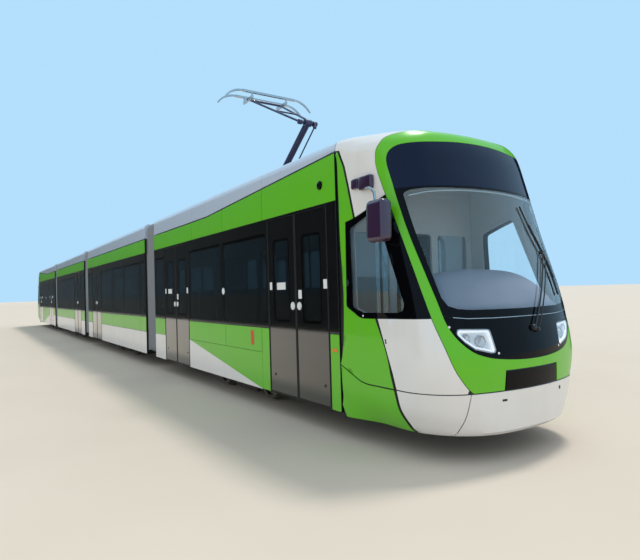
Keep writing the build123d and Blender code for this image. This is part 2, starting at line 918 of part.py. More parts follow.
# Wheelset, turned about its axle
def wheelset(axle_x):
    """Axle with its two wheels and journals."""
    flange_inner = back_to_back / 2
    flange_outer = flange_inner + flange_thickness
    wheel_outer = flange_inner + wheel_width
    with BuildPart() as axle:
        with BuildSketch(Plane.YZ.offset(axle_x)):
            with BuildLine():
                Polyline(
                    (0, axle_z),
                    (0, axle_z + axle_radius),
                    (flange_inner - 30, axle_z + axle_radius),
                    (flange_inner - 30, axle_z + hub_radius),
                    (flange_inner + 30, axle_z + hub_radius),
                    (flange_inner + 30, axle_z + tread_radius - 62),
                    (flange_inner, axle_z + tread_radius - 45),
                    (flange_inner, axle_z + flange_radius - 12),
                    (flange_inner + 10, axle_z + flange_radius),
                    (flange_inner + 18, axle_z + flange_radius),
                    (flange_outer, axle_z + tread_radius + 3),
                    (wheel_outer - 8, axle_z + tread_radius - 3),
                    (wheel_outer, axle_z + tread_radius - 10),
                    (wheel_outer, axle_z + tread_radius - 58),
                    (wheel_outer - 40, axle_z + tread_radius - 72),
                    (wheel_outer - 40, axle_z + hub_radius + 20),
                    (wheel_outer, axle_z + hub_radius),
                    (wheel_outer, axle_z + axle_radius),
                    (journal_start_y, axle_z + axle_radius),
                    (journal_start_y, axle_z + journal_radius),
                    (journal_end_y, axle_z + journal_radius),
                    (journal_end_y, axle_z),
                    close=True,
                )
            make_face()
        revolve(axis=Axis((axle_x, 0, axle_z), (0, 1, 0)))
        mirror(about=Plane.XZ)
    return axle.part


# Bogie frame
def bogie_frame(centre_x):
    """Frame with outside beams, cross beams, axle boxes, motors and track brakes."""
    beam_inner = beam_centre_y - beam_thickness / 2
    beam_outer = beam_centre_y + beam_thickness / 2
    with BuildPart() as frame:
        with BuildSketch(Plane.XZ):
            with BuildLine():
                Polyline(
                    (centre_x - beam_half_length, beam_bottom),
                    (centre_x - beam_half_length, beam_top - 30),
                    (centre_x - beam_half_length + 60, beam_top),
                    (centre_x + beam_half_length - 60, beam_top),
                    (centre_x + beam_half_length, beam_top - 30),
                    (centre_x + beam_half_length, beam_bottom),
                    (centre_x + wheelbase / 2 - 260, beam_bottom - 40),
                    (centre_x - wheelbase / 2 + 260, beam_bottom - 40),
                    close=True,
                )
            make_face()
        extrude(amount=beam_outer, both=True)
        upright_box(
            centre_x - beam_half_length,
            centre_x + beam_half_length,
            -beam_inner,
            beam_inner,
            0,
            beam_top,
            Mode.SUBTRACT,
        )
        for side in (1, -1):
            low_x = centre_x + side * 300
            upright_box(low_x - 70, low_x + 70, -beam_inner, beam_inner, beam_bottom, beam_top)
            for axle in (1, -1):
                axle_x = centre_x + axle * wheelbase / 2
                with Locations((axle_x, side * beam_centre_y, axle_z)):
                    Cylinder(105, beam_thickness, rotation=(90, 0, 0))
        with Locations((centre_x, 0, (beam_top + well_ceiling - seat_gap) / 2)):
            Cylinder(ring_radius, well_ceiling - seat_gap - beam_top)
        upright_box(centre_x - 300, centre_x + 300, -260, 260, beam_bottom, beam_top)
        for side in (1, -1):
            for axle in (1, -1):
                axle_x = centre_x + axle * wheelbase / 2
                journal_length = journal_end_y - beam_inner + running_gap
                with Locations((axle_x, side * (beam_inner + journal_length / 2), axle_z)):
                    Cylinder(
                        journal_radius + pin_clearance,
                        journal_length,
                        rotation=(90, 0, 0),
                        mode=Mode.SUBTRACT,
                    )
            # Track brake bar and its two hangers
            brake_y = side * (back_to_back / 2 + 70)
            upright_box(centre_x - 420, centre_x + 420, brake_y - 35, brake_y + 35, 70, 150)
            for hanger in (300, -300):
                hanger_x = centre_x + hanger
                upright_box(
                    hanger_x - 25, hanger_x + 25, brake_y - 20, brake_y + 20, 150, beam_bottom + 1
                )
    return frame.part


# Pantograph geometry at rest: base pivot, knee and head pivot in the tram's middle plane
pan_pivot = Vector(pan_base_x, 0, pan_pivot_z)
pan_knee = pan_pivot + Vector(
    pan_lower_length * cos(radians(pan_lower_angle)), 0, pan_lower_length * sin(radians(pan_lower_angle))
)
pan_head = pan_knee + Vector(
    -pan_upper_length * cos(radians(pan_upper_angle)), 0, pan_upper_length * sin(radians(pan_upper_angle))
)
pan_frame_z = 3160
pan_frame_rear = pan_base_x - 420
pan_frame_front = pan_base_x + 900
pan_frame_half = 520
pan_insulator_radius = 60
pan_bracket_half = 200
pan_knee_half = 190


pan_link_base = Vector(pan_link_base_x, 0, pan_link_base_z)
pan_heel = pan_knee + Vector(
    pan_heel_length * cos(radians(pan_heel_angle)), 0, pan_heel_length * sin(radians(pan_heel_angle))
)
pan_link_inner = pan_link_y - 10
pan_link_outer = pan_link_y + 10
pan_link_plate = 15


def beside(centre, inner, outer, radius, mode=Mode.ADD):
    """Round bar across the tram between two y, at a point's x and z."""
    with Locations((centre.X, (inner + outer) / 2, centre.Z)):
        Cylinder(radius, outer - inner, rotation=(90, 0, 0), mode=mode)


def across(centre, half, radius, mode=Mode.ADD):
    """Round bar across the tram through a point."""
    with Locations(centre):
        Cylinder(radius, 2 * half, rotation=(90, 0, 0), mode=mode)


with BuildPart() as pantograph_base:
    # Four insulators on the roof deck carry the frame
    for x in (pan_frame_rear, pan_frame_front):
        for y in (pan_frame_half, -pan_frame_half):
            with Locations((x, y, (roof_deck + pan_frame_z) / 2)):
                Cylinder(pan_insulator_radius * 0.6, pan_frame_z - roof_deck)
            for shed in (0.25, 0.5, 0.75):
                with Locations((x, y, roof_deck + shed * (pan_frame_z - roof_deck))):
                    Cylinder(pan_insulator_radius, 24)
    for y in (pan_frame_half, -pan_frame_half):
        upright_box(
            pan_frame_rear - 60, pan_frame_front + 60, y - 30, y + 30, pan_frame_z, pan_frame_z + 60
        )
    for x in (pan_frame_rear, pan_base_x, pan_frame_front):
        upright_box(x - 30, x + 30, -pan_frame_half, pan_frame_half, pan_frame_z, pan_frame_z + 60)
    # Two cheeks with the lower arm's bearings
    for side in (1, -1):
        cheek = side * (pan_bracket_half + 15 + running_gap)
        upright_box(
            pan_base_x - 60, pan_base_x + 60, cheek - 15, cheek + 15, pan_frame_z, pan_pivot_z + 55
        )
        with Locations((pan_base_x, cheek, pan_pivot_z)):
            Cylinder(pan_shaft_radius + pin_clearance, 30, rotation=(90, 0, 0), mode=Mode.SUBTRACT)
    # Cross member and bracket with the link rod's lower pin
    upright_box(
        pan_link_base_x - 30,
        pan_link_base_x + 30,
        -pan_frame_half,
        pan_frame_half,
        pan_frame_z,
        pan_frame_z + 40,
    )
    plate_inner = pan_link_outer + running_gap
    upright_box(
        pan_link_base_x - 30,
        pan_link_base_x + 30,
        plate_inner,
        plate_inner + pan_link_plate,
        pan_frame_z,
        pan_link_base_z + 28,
    )
    beside(pan_link_base, pan_link_inner - 6, plate_inner + 1, pan_link_pin_radius)

# Link rod: its lower eye turns on the base's pin, and its upper eye lies round the heel's pin
with BuildPart() as pantograph_link:
    lower_eye = pan_link_base + Vector(0, pan_link_y, 0)
    upper_eye = pan_heel + Vector(0, pan_link_y, 0)
    rod(lower_eye, upper_eye, pan_link_radius)
    beside(lower_eye, pan_link_inner, pan_link_outer, pan_link_eye_radius)
    beside(upper_eye, pan_link_inner, pan_link_outer, pan_link_eye_radius)
    beside(
        lower_eye,
        pan_link_inner - pan_link_radius,
        pan_link_outer + pan_link_radius,
        pan_link_pin_radius + pin_clearance,
        Mode.SUBTRACT,
    )
    beside(
        upper_eye,
        pan_link_inner - pan_link_radius,
        pan_link_outer + pan_link_radius,
        pan_link_pin_radius + pan_link_open_clearance,
        Mode.SUBTRACT,
    )

with BuildPart() as pantograph_lower_arm:
    across(pan_pivot, pan_bracket_half + 15 + running_gap + 15, pan_shaft_radius)
    across(pan_pivot, pan_bracket_half, pan_lower_radius * 1.25)
    rod(pan_pivot, pan_knee, pan_lower_radius)
    across(pan_knee, pan_knee_half, pan_shaft_radius)
    across(pan_knee, 60, pan_lower_radius * 1.1)

with BuildPart() as pantograph_upper_arm:
    for side in (1, -1):
        with Locations((pan_knee.X, side * 150, pan_knee.Z)):
            Cylinder(pan_shaft_radius * 1.8, 60, rotation=(90, 0, 0))
        rod(
            Vector(pan_knee.X, side * 150, pan_knee.Z),
            Vector(pan_head.X, side * 330, pan_head.Z),
            pan_upper_radius,
        )
    # Heel with the link rod's upper pin
    heel_inner = pan_link_outer + running_gap
    with BuildSketch(Plane.XZ.offset(-heel_inner)):
        with Locations((pan_knee.X, pan_knee.Z)):
            Circle(pan_shaft_radius * 1.8)
        with Locations((pan_heel.X, pan_heel.Z)):
            Circle(pan_link_eye_radius)
        make_hull()
    extrude(amount=-pan_link_plate)
    beside(pan_heel, pan_link_inner - 6, heel_inner + 1, pan_link_pin_radius)
    across(pan_head, 380, pan_head_radius)
    middle = (pan_knee + pan_head) * 0.5
    across(middle, 240, pan_upper_radius * 0.8)
    across(pan_knee, pan_knee_half + running_gap, pan_shaft_radius + pin_clearance, Mode.SUBTRACT)

# Contact strips' height above the head pivot
pan_strip_rise = 95

with BuildPart() as pantograph_head:
    for side in (1, -1):
        cradle = Vector(pan_head.X, side * 365, pan_head.Z)
        with Locations(cradle):
            Box(pan_strip_spacing + 60, 30, 64)
        across(cradle, 15, pan_head_radius + pin_clearance, Mode.SUBTRACT)
        for end in (1, -1):
            strip_x = pan_head.X + end * pan_strip_spacing / 2
            with Locations((strip_x, side * 365, pan_head.Z + pan_strip_rise / 2 - 10)):
                Box(24, 24, pan_strip_rise - 20)
    for end in (1, -1):
        strip_x = pan_head.X + end * pan_strip_spacing / 2
        strip_z = pan_head.Z + pan_strip_rise
        with Locations((strip_x, 0, strip_z)):
            Box(44, 2 * pan_strip_half, 40)
        for side in (1, -1):
            with BuildSketch(Plane.YZ.offset(strip_x - 14)):
                with BuildLine():
                    horn = pan_horn_half - pan_strip_half
                    outer = ThreePointArc(
                        (side * (pan_strip_half - 2), strip_z + 14),
                        (side * (pan_strip_half + horn * 0.62), strip_z + 14 - pan_horn_drop * 0.32),
                        (side * pan_horn_half, strip_z - pan_horn_drop),
                    )
                    Line(outer @ 1, (side * (pan_horn_half - 26), strip_z - pan_horn_drop))
                    ThreePointArc(
                        (side * (pan_horn_half - 26), strip_z - pan_horn_drop),
                        (side * (pan_strip_half + horn * 0.56), strip_z - 12 - pan_horn_drop * 0.32),
                        (side * (pan_strip_half - 2), strip_z - 12),
                    )
                    Line((side * (pan_strip_half - 2), strip_z - 12), outer @ 0)
                make_face()
            extrude(amount=28)

# Cab car's saloon ends at the cab, so its own end wall closes the saloon behind the driver
saloon_a = saloon_shell(car_a_rear, cab_seam_x, doors_a, panes_a, bogie_a_x, True)
saloon_b = saloon_shell(car_b_rear, car_b_front, doors_b, panes_b, bogie_b_x, False)

with BuildPart() as shell_a:
    add(saloon_a)
    bore_plate(articulation_x, 1)

with BuildPart() as shell_b:
    add(saloon_b)
    pin_plate(articulation_x, -1)
    pin_plate(0, 1)

with BuildPart() as shell_c:
    add(saloon_b.rotate(Axis.Z, 180))
    pin_plate(-articulation_x, 1)
    bore_plate(0, -1)

fairing_seams_a = [car_a_rear, 11500, 13000, 14500, cab_seam_x]
fairing_seams_b = [car_b_rear, 2290, 4270, 6250, car_b_front]

cab_car_pieces = {
    "shell": shell_a.part,
    "roof_fairings": fairings(fairing_seams_a, True),
    "roof_units": roof_units(units_a),
    "glazing": glazing(doors_a, panes_a),
    "doors": door_leaves(doors_a),
    "interior": interior(seats_a, poles_a),
    "cab_shell": cab_shell.part,
    "cab_skirt": cab_skirt.part,
    "cab_glass": cab_glass.part,
    "lamp_panel": lamp_panel.part,
    "headlamps": headlamps.part,
    "cab_interior": cab_interior.part,
    "mirrors": mirrors.part,
    "wiper": wiper.part,
    "bogie_frame": bogie_frame(bogie_a_x),
    "front_wheelset": wheelset(bogie_a_x + wheelbase / 2),
    "rear_wheelset": wheelset(bogie_a_x - wheelbase / 2),
}

middle_car_pieces = {
    "roof_fairings": fairings(fairing_seams_b, False),
    "roof_units": roof_units(units_b),
    "glazing": glazing(doors_b, panes_b),
    "doors": door_leaves(doors_b),
    "interior": interior(seats_b, poles_b),
    "bogie_frame": bogie_frame(bogie_b_x),
    "front_wheelset": wheelset(bogie_b_x + wheelbase / 2),
    "rear_wheelset": wheelset(bogie_b_x - wheelbase / 2),
}

for piece, shape in cab_car_pieces.items():
    write_both_ends(shape, piece, "car_a", "car_d")

for piece, shape in middle_car_pieces.items():
    write_both_ends(shape, piece, "car_b", "car_c")

write_piece(shell_b.part, "car_b_shell")
write_piece(shell_c.part, "car_c_shell")

for name, centre_x in (("ab", articulation_x), ("bc", 0), ("cd", -articulation_x)):
    write_piece(bellows(centre_x), f"bellows_{name}")

pantograph_pieces = {
    "pantograph_base": pantograph_base.part,
    "pantograph_link": pantograph_link.part,
    "pantograph_lower_arm": pantograph_lower_arm.part,
    "pantograph_upper_arm": pantograph_upper_arm.part,
    "pantograph_head": pantograph_head.part,
}

for name, shape in pantograph_pieces.items():
    write_piece(shape, name)
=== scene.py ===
# %% [markdown]
# # A four-section tram, dressed in Blender
#
# The frame of this tram is already made: its bodies, axles, doors and glass stand at their real
# size. This lesson gives it the looks: curved panels for the cab, flat panels for the sides,
# paint, glass, lamps, pleated gangways and everything else that a camera sees.

# %% Load the frame
import bpy
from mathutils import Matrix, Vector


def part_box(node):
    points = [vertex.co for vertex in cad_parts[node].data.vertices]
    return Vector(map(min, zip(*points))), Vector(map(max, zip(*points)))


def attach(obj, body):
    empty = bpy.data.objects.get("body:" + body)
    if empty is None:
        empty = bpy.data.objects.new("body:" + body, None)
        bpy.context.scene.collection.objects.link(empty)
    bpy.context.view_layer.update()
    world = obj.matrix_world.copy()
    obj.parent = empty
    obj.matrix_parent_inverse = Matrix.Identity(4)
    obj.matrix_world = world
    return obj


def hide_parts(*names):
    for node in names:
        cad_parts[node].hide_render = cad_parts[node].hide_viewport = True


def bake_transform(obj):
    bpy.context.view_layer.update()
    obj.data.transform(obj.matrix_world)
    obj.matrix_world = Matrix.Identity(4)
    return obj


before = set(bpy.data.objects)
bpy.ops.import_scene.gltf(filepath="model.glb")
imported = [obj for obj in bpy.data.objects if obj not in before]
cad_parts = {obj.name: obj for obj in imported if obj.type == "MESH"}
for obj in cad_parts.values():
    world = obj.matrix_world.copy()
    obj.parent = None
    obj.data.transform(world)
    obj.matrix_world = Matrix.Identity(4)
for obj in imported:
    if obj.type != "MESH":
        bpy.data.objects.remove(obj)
for spare in ("Cube", "Camera", "Light"):
    if spare in bpy.data.objects:
        bpy.data.objects.remove(bpy.data.objects[spare])
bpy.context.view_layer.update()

# %% Other tools of this lesson
from bisect import bisect_right
from functools import lru_cache
from math import acos, asin, atan2, ceil, cos, hypot, pi, radians, sin, sqrt, tan

from mathutils import Matrix, Vector
from mathutils.geometry import delaunay_2d_cdt

# %% [markdown]
# ## Sizes that come from the frame
#
# A panel that hugs a body has to start from that body's own size. So nothing here repeats a
# length of the car: each one is read from the boxes of the loaded nodes. Only what the panels
# add, such as their thickness and joints, is a value of this lesson.

# %% Sizes of the cars
# How far panels stand over a car's ends, and over the glass, and hang below the doors
end_lip, pane_lip, skirt_drop = 0.003, 0.003, 0.03
side_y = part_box("car_a_shell")[1].y
seam_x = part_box("car_a_shell")[1].x
car_a_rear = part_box("car_a_roof_fairings")[0].x - end_lip
car_b_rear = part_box("car_b_roof_fairings")[0].x - end_lip
car_b_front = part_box("car_b_roof_fairings")[1].x + end_lip
nose_x = max(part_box("car_a_cab_shell")[1].x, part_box("car_a_cab_skirt")[1].x)
cab_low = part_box("car_a_cab_skirt")[0].z
roof_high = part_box("car_a_cab_shell")[1].z
skirt_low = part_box("car_b_doors")[0].z - skirt_drop
window_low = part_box("car_b_glazing")[0].z - pane_lip
window_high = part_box("car_b_glazing")[1].z + pane_lip
cantrail_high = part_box("car_b_shell")[1].z
door_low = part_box("car_b_doors")[0].z
door_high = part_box("car_b_doors")[1].z
bellows_low, bellows_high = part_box("bellows_bc")
panel_thickness = 0.003
joint = 0.010
print("nose at", round(nose_x, 3), "side at", round(side_y, 3))

# %% [markdown]
# ## Colours
#
# Paint charts give colours as a screen shows them. Blender's shaders work in linear light, so one
# helper converts a chart colour of three numbers from 0 to 255. Colours read off a screen and
# typed straight into a shader would come out too pale. The finishes below are all given as chart
# colours and converted when they are made.

# %% Chart colours to linear light
def chart(red, green, blue):
    """Linear colour of a chart colour."""
    channels = [value / 255 for value in (red, green, blue)]
    linear = [c / 12.92 if c <= 0.04045 else ((c + 0.055) / 1.055) ** 2.4 for c in channels]
    return (*linear, 1.0)


# %% [markdown]
# ## Shared effects as node groups
#
# Real paint is never one flat colour: road dust lies low on the body, washing leaves fine upright
# streaks, and a big panel is a little wavy. Several finishes need the same effects, so each is a
# node group with named inputs, built once and placed in each material with its own values. The
# groups only put out masks and heights. The shader itself stays in each material.

# %% Helpers for node trees
def wire(tree, source, output, target, socket):
    """Link one node's output to another node's input, both by name or number."""
    tree.links.new(source.outputs[output], target.inputs[socket])


def new_group(name, inputs, outputs):
    """Empty shader node group with named sockets: float inputs with a default, float outputs."""
    group = bpy.data.node_groups.new(name, "ShaderNodeTree")
    for label, value in inputs:
        socket = group.interface.new_socket(
            name=label, in_out="INPUT", socket_type="NodeSocketFloat"
        )
        socket.default_value = value
    for label in outputs:
        group.interface.new_socket(name=label, in_out="OUTPUT", socket_type="NodeSocketFloat")
    return group, group.nodes.new("NodeGroupInput"), group.nodes.new("NodeGroupOutput")


def maths(tree, operation, *values):
    """Math node: each value is a number, or a node's output."""
    node = tree.nodes.new("ShaderNodeMath")
    node.operation = operation
    for place, value in enumerate(values):
        if isinstance(value, (int, float)):
            node.inputs[place].default_value = value
        else:
            tree.links.new(value, node.inputs[place])
    return node.outputs[0]


def noise_at(tree, place, **values):
    """Noise texture at a place, which is a node's output, with its inputs set by name."""
    noise = tree.nodes.new("ShaderNodeTexNoise")
    for label, value in values.items():
        noise.inputs[label.capitalize()].default_value = value
    tree.links.new(place, noise.inputs["Vector"])
    return noise


def limited(tree, value):
    """The same value, kept between 0 and 1."""
    limit = tree.nodes.new("ShaderNodeClamp")
    tree.links.new(value, limit.inputs[0])
    return limit.outputs[0]


# %% Road dust that lies low
def dust_group():
    """Mask of road dust: full at the ground, gone at a height, broken up by noise."""
    group, given, result = new_group(
        "Road dust", [("Height", 1.0), ("Patchiness", 0.5), ("Scale", 3.0)], ["Mask"]
    )
    place = group.nodes.new("ShaderNodeTexCoord")
    split = group.nodes.new("ShaderNodeSeparateXYZ")
    noise = noise_at(group, place.outputs["Object"], detail=6.0)
    wire(group, place, "Object", split, 0)
    wire(group, given, "Scale", noise, "Scale")
    rise = maths(group, "DIVIDE", split.outputs["Z"], given.outputs["Height"])
    fall = maths(group, "SUBTRACT", 1.0, rise)
    spots = maths(group, "SUBTRACT", noise.outputs[0], 0.5)
    broken = maths(group, "MULTIPLY_ADD", spots, given.outputs["Patchiness"], fall)
    group.links.new(limited(group, broken), result.inputs["Mask"])
    return group


# %% Waves of a big panel
def wave_group():
    """Height of a painted panel: long shallow waves with a fine orange peel on top."""
    group, given, result = new_group("Panel waves", [("Wave", 1.0), ("Peel", 0.1)], ["Height"])
    place = group.nodes.new("ShaderNodeTexCoord")
    total = 0.0
    for scale, amount in ((1.6, "Wave"), (140.0, "Peel")):
        noise = noise_at(group, place.outputs["Object"], scale=scale)
        total = maths(group, "MULTIPLY_ADD", noise.outputs[0], given.outputs[amount], total)
    group.links.new(total, result.inputs["Height"])
    return group


# %% Streaks of a washed side
def streak_group():
    """Mask of fine upright streaks, as rain and brushes leave on a washed side."""
    group, given, result = new_group("Wash streaks", [("Scale", 9.0), ("Strength", 0.5)], ["Mask"])
    place = group.nodes.new("ShaderNodeTexCoord")
    stretch = group.nodes.new("ShaderNodeMapping")
    stretch.inputs["Scale"].default_value = (1.0, 1.0, 0.12)
    noise = noise_at(group, stretch.outputs[0], detail=8.0)
    wire(group, place, "Object", stretch, "Vector")
    wire(group, given, "Scale", noise, "Scale")
    centred = maths(group, "SUBTRACT", noise.outputs[0], 0.45)
    strong = maths(group, "MULTIPLY", centred, given.outputs["Strength"])
    group.links.new(limited(group, strong), result.inputs["Mask"])
    return group


groups = {"dust": dust_group(), "waves": wave_group(), "streaks": streak_group()}
print("node groups:", [group.name for group in groups.values()])


# %% Place a group in a material
def place_group(tree, kind, **values):
    """Node of one shared group, with its inputs set by name."""
    node = tree.nodes.new("ShaderNodeGroup")
    node.node_tree = groups[kind]
    for label, value in values.items():
        node.inputs[label.capitalize()].default_value = value
    return node


def mix_colour(tree, mask, first, second):
    """Colour between two, by a mask: each colour is four numbers or an output."""
    node = tree.nodes.new("ShaderNodeMix")
    node.data_type = "RGBA"
    tree.links.new(mask, node.inputs[0])
    for socket, value in ((node.inputs[6], first), (node.inputs[7], second)):
        if isinstance(value, tuple):
            socket.default_value = value
        else:
            tree.links.new(value, socket)
    return node.outputs[2]


def mix_value(tree, mask, first, second):
    """Number between two, by a mask."""
    node = tree.nodes.new("ShaderNodeMapRange")
    tree.links.new(mask, node.inputs["Value"])
    node.inputs["To Min"].default_value = first
    node.inputs["To Max"].default_value = second
    return node.outputs[0]


# %% [markdown]
# ## How every finish starts
#
# Each finish is a material of its own with one Principled shader. Numbers that are the same all
# over go straight into the shader's sockets. What changes over the surface comes from nodes: a
# colour, a roughness, and a height that tilts the light through a Bump node.

# %% Start of a material
def new_material(name, sockets):
    """Material, its node tree and its shader, with plain sockets set."""
    material = bpy.data.materials.new(name)
    material.use_nodes = True
    shader = material.node_tree.nodes["Principled BSDF"]
    for label, value in sockets.items():
        shader.inputs[label].default_value = value
    return material, material.node_tree, shader


def vary(tree, shader, mask, colours, roughness):
    """Colour and roughness of the shader, each between two values by the same mask."""
    tree.links.new(mix_colour(tree, mask, *colours), shader.inputs["Base Color"])
    tree.links.new(mix_value(tree, mask, *roughness), shader.inputs["Roughness"])


def add_bump(tree, shader, source, output, strength, distance):
    """Bump node between a node's height and the shader's normal."""
    bump = tree.nodes.new("ShaderNodeBump")
    bump.inputs["Strength"].default_value = strength
    bump.inputs["Distance"].default_value = distance
    wire(tree, source, output, bump, "Height")
    wire(tree, bump, "Normal", shader, "Normal")


# %% [markdown]
# ## Painted panels
#
# The body is sprayed: a colour coat under a clear gloss coat. The shader's coat layer gives that
# hard highlight over a softer base. Dust dulls it near the ground, and the waves bend its
# reflections a little, which is what tells a painted panel from plastic.

# %% Paint
dust_colour = chart(150, 138, 122)
dust_reach = 1.1
dusty_roughness = 0.75


def paint(name, colour, roughness=0.32, coat=0.7, dust=0.2, wave=1.0, wash=0.3, sockets=None):
    """Gloss paint with dust low down, streaks and panel waves."""
    gloss = {"Coat Weight": coat, "Coat Roughness": 0.06, **(sockets or {})}
    material, tree, shader = new_material(name, gloss)
    low = place_group(tree, "dust", height=dust_reach, patchiness=1.0, scale=2.5)
    streaks = place_group(tree, "streaks", scale=7.0, strength=wash)
    film = maths(tree, "MULTIPLY_ADD", low.outputs["Mask"], dust, streaks.outputs["Mask"])
    thin = maths(tree, "MINIMUM", maths(tree, "MULTIPLY", film, 0.5), 1.0)
    vary(tree, shader, thin, (chart(*colour), dust_colour), (roughness, dusty_roughness))
    waves = place_group(tree, "waves", wave=wave, peel=0.02)
    add_bump(tree, shader, waves, "Height", 0.35, 0.004)
    return material


# %% The tram's paints
soft_gloss = {"Specular IOR Level": 0.35}
dark_gloss = {"Specular IOR Level": 0.2}
thin_gloss = {"Specular IOR Level": 0.1}
mirror_coat = {"Coat IOR": 1.7}
green = paint("green paint", (98, 194, 6), coat=0.4, sockets=soft_gloss)
white = paint("white paint", (234, 231, 227))
# Roof white is tinted blue-grey: a painted reflection of the sky on white paint.
roof_white_painted_sky = paint("roof white with painted sky tint", (190, 203, 220), dust=0.05)
unit_grey = paint("roof unit grey", (176, 180, 182), 0.5, 0.1, dust=0.0)
mirror_plum = paint("mirror plum", (54, 30, 62), 0.25, 0.8, dust=0.0, wave=0.3, wash=0.1)
pantograph_blue = paint("pantograph blue", (44, 50, 88), 0.4, 0.3, dust=0.0)
gloss_black = paint(
    "gloss black", (7, 7, 10), 0.05, 1.0, dust=0.03, wave=0.5, wash=0.03, sockets=mirror_coat
)
lamp_black = paint(
    "lamp panel black", (6, 6, 10), 0.1, 0.08, dust=0.0, wave=0.3, wash=0.03,
    sockets=thin_gloss,
)
navy = paint(
    "navy band", (6, 12, 44), 0.08, 0.14, dust=0.0, wave=0.3, wash=0.03, sockets=dark_gloss
)
print("paints:", len(bpy.data.materials))

# %% [markdown]
# ## Rubber, plastic and metal
#
# Seals and gaps are dull black, the inside is pale moulded plastic, and the running gear is dusty
# steel. They share one recipe: a base colour broken up by noise, with a grain in the bump.

# %% Grained materials
def grained(name, colour, other, scale=30.0, roughness=(0.5, 0.7), bump_depth=0.0008, sockets=None):
    """Matte or metal finish whose colour and roughness vary with a fine noise."""
    material, tree, shader = new_material(name, sockets or {})
    place = tree.nodes.new("ShaderNodeTexCoord").outputs["Object"]
    noise = noise_at(tree, place, scale=scale, detail=7.0)
    vary(tree, shader, noise.outputs[0], (chart(*colour), chart(*other)), roughness)
    add_bump(tree, shader, noise, 0, 0.5, bump_depth)
    return material


# %% Plastics, rubber and cloth
satin = (0.3, 0.45)
polished = (0.2, 0.3)
rubber = grained("black rubber", (10, 10, 11), (24, 24, 25), 60.0)
satin_black = grained("satin black", (16, 16, 18), (28, 28, 30), 40.0, satin)
pale_plastic = grained("pale plastic", (214, 216, 214), (226, 228, 226), 25.0)
desk_plastic = grained("desk plastic", (34, 34, 36), (52, 52, 54), 50.0)
dashboard_mauve = grained("dashboard plastic", (150, 148, 166), (166, 164, 180), 40.0)
seat_cloth = grained("seat cloth", (44, 60, 52), (70, 92, 78), 160.0, (0.8, 0.95))
pleat_cloth = grained("pleat cloth", (128, 131, 136), (150, 153, 158), 70.0, (0.55, 0.75))
orange = grained("orange lens", (226, 120, 20), (240, 140, 40), 20.0, polished)
red_orange = grained("red orange mark", (205, 74, 34), (226, 92, 48), 20.0, (0.3, 0.4))
label_white = grained("blank label", (226, 226, 224), (240, 240, 238), 40.0, (0.4, 0.5))

# %% Metals, and lamp insides with a painted glow
bogie_dust = grained("dusty frame", (48, 45, 42), (92, 84, 74), 14.0, (0.6, 0.9), 0.002)
tyre_steel = grained(
    "tyre steel", (96, 88, 80), (150, 146, 140), 24.0, (0.25, 0.6), 0.0005,
    {"Metallic": 0.9},
)
bright_metal = grained(
    "bright metal", (176, 178, 180), (204, 206, 208), 45.0, (0.16, 0.3), 0.0002,
    {"Metallic": 1.0},
)
# The lamp bowl's emission is a painted glow: it stands in for daylight brightening the inside of
# the lamp.
lamp_bowl_painted_glow = grained(
    "lamp bowl", (196, 198, 198), (222, 223, 222), 20.0, (0.15, 0.25), 0.0002,
    {"Metallic": 0.2, "Emission Color": (0.86, 0.88, 0.9, 1.0), "Emission Strength": 0.26},
)
led_white = grained(
    "lamp ring", (240, 243, 248), (255, 255, 255), 30.0, polished,
    sockets={"Emission Color": (1.0, 1.0, 1.0, 1.0), "Emission Strength": 0.6},
)
print("materials so far:", len(bpy.data.materials))

# %% [markdown]
# ## Glass
#
# Window glass is a clear body with a tint. A plain glass shader would keep all light out of the
# saloon, because a shadow ray stops at it. So a shadow ray meets a thin tinted filter instead,
# and every other ray meets real glass.

# %% Glass materials
def glass(name, tint, roughness, filter_tint):
    """Tinted glass that lets light through to what is behind it."""
    clear = {"Transmission Weight": 1.0, "IOR": 1.45, "Metallic": 0.0}
    material, tree, shader = new_material(name, clear)
    streaks = place_group(tree, "streaks", scale=4.0, strength=0.12).outputs["Mask"]
    vary(tree, shader, streaks, (chart(*tint), dust_colour), (roughness, 0.2))
    through = tree.nodes.new("ShaderNodeBsdfTransparent")
    through.inputs["Color"].default_value = filter_tint
    path = tree.nodes.new("ShaderNodeLightPath")
    mix = tree.nodes.new("ShaderNodeMixShader")
    wire(tree, path, "Is Shadow Ray", mix, 0)
    wire(tree, shader, "BSDF", mix, 1)
    wire(tree, through, "BSDF", mix, 2)
    wire(tree, mix, 0, tree.nodes["Material Output"], "Surface")
    return material


tinted_glass = glass("tinted glass", (92, 104, 108), 0.01, (0.16, 0.19, 0.19, 1.0))
windscreen_glass = glass("windscreen glass", (246, 252, 253), 0.01, (0.96, 0.98, 1.0, 1.0))
lamp_glass = glass("lamp glass", (244, 247, 250), 0.0, (0.95, 0.95, 0.95, 1.0))
print("with glass:", len(bpy.data.materials))

# %% [markdown]
# ## From outlines to sheets
#
# Nearly every panel here is a thin sheet cut to an outline, flat on the sides and curved on the
# cab. One builder makes them all. It takes closed outlines in a flat chart, fills them with
# triangles, and asks a placing function where each chart point lies in space. So the same steps
# make a flat door panel and a windscreen, and each sheet has a real thickness and a bevelled rim
# that catches the light along the joints.

# %% Outline helpers
def edges_of(loop):
    """Each point of a closed outline with the next one."""
    return zip(loop, loop[1:] + loop[:1])


def signed_area(loop):
    """Area of a closed outline, positive when it runs anticlockwise."""
    return sum(a[0] * b[1] - b[0] * a[1] for a, b in edges_of(loop)) / 2


def anticlockwise(loop):
    """The same outline, turned round if it runs clockwise."""
    return loop if signed_area(loop) > 0 else loop[::-1]


def open_divided(points, spacing):
    """Open line with extra points, so that no step is longer than a spacing."""
    result = []
    for (ax, ay), (bx, by) in zip(points, points[1:]):
        steps = max(1, ceil(hypot(bx - ax, by - ay) / spacing))
        result += [(ax + (bx - ax) * i / steps, ay + (by - ay) * i / steps) for i in range(steps)]
    return result + [points[-1]]


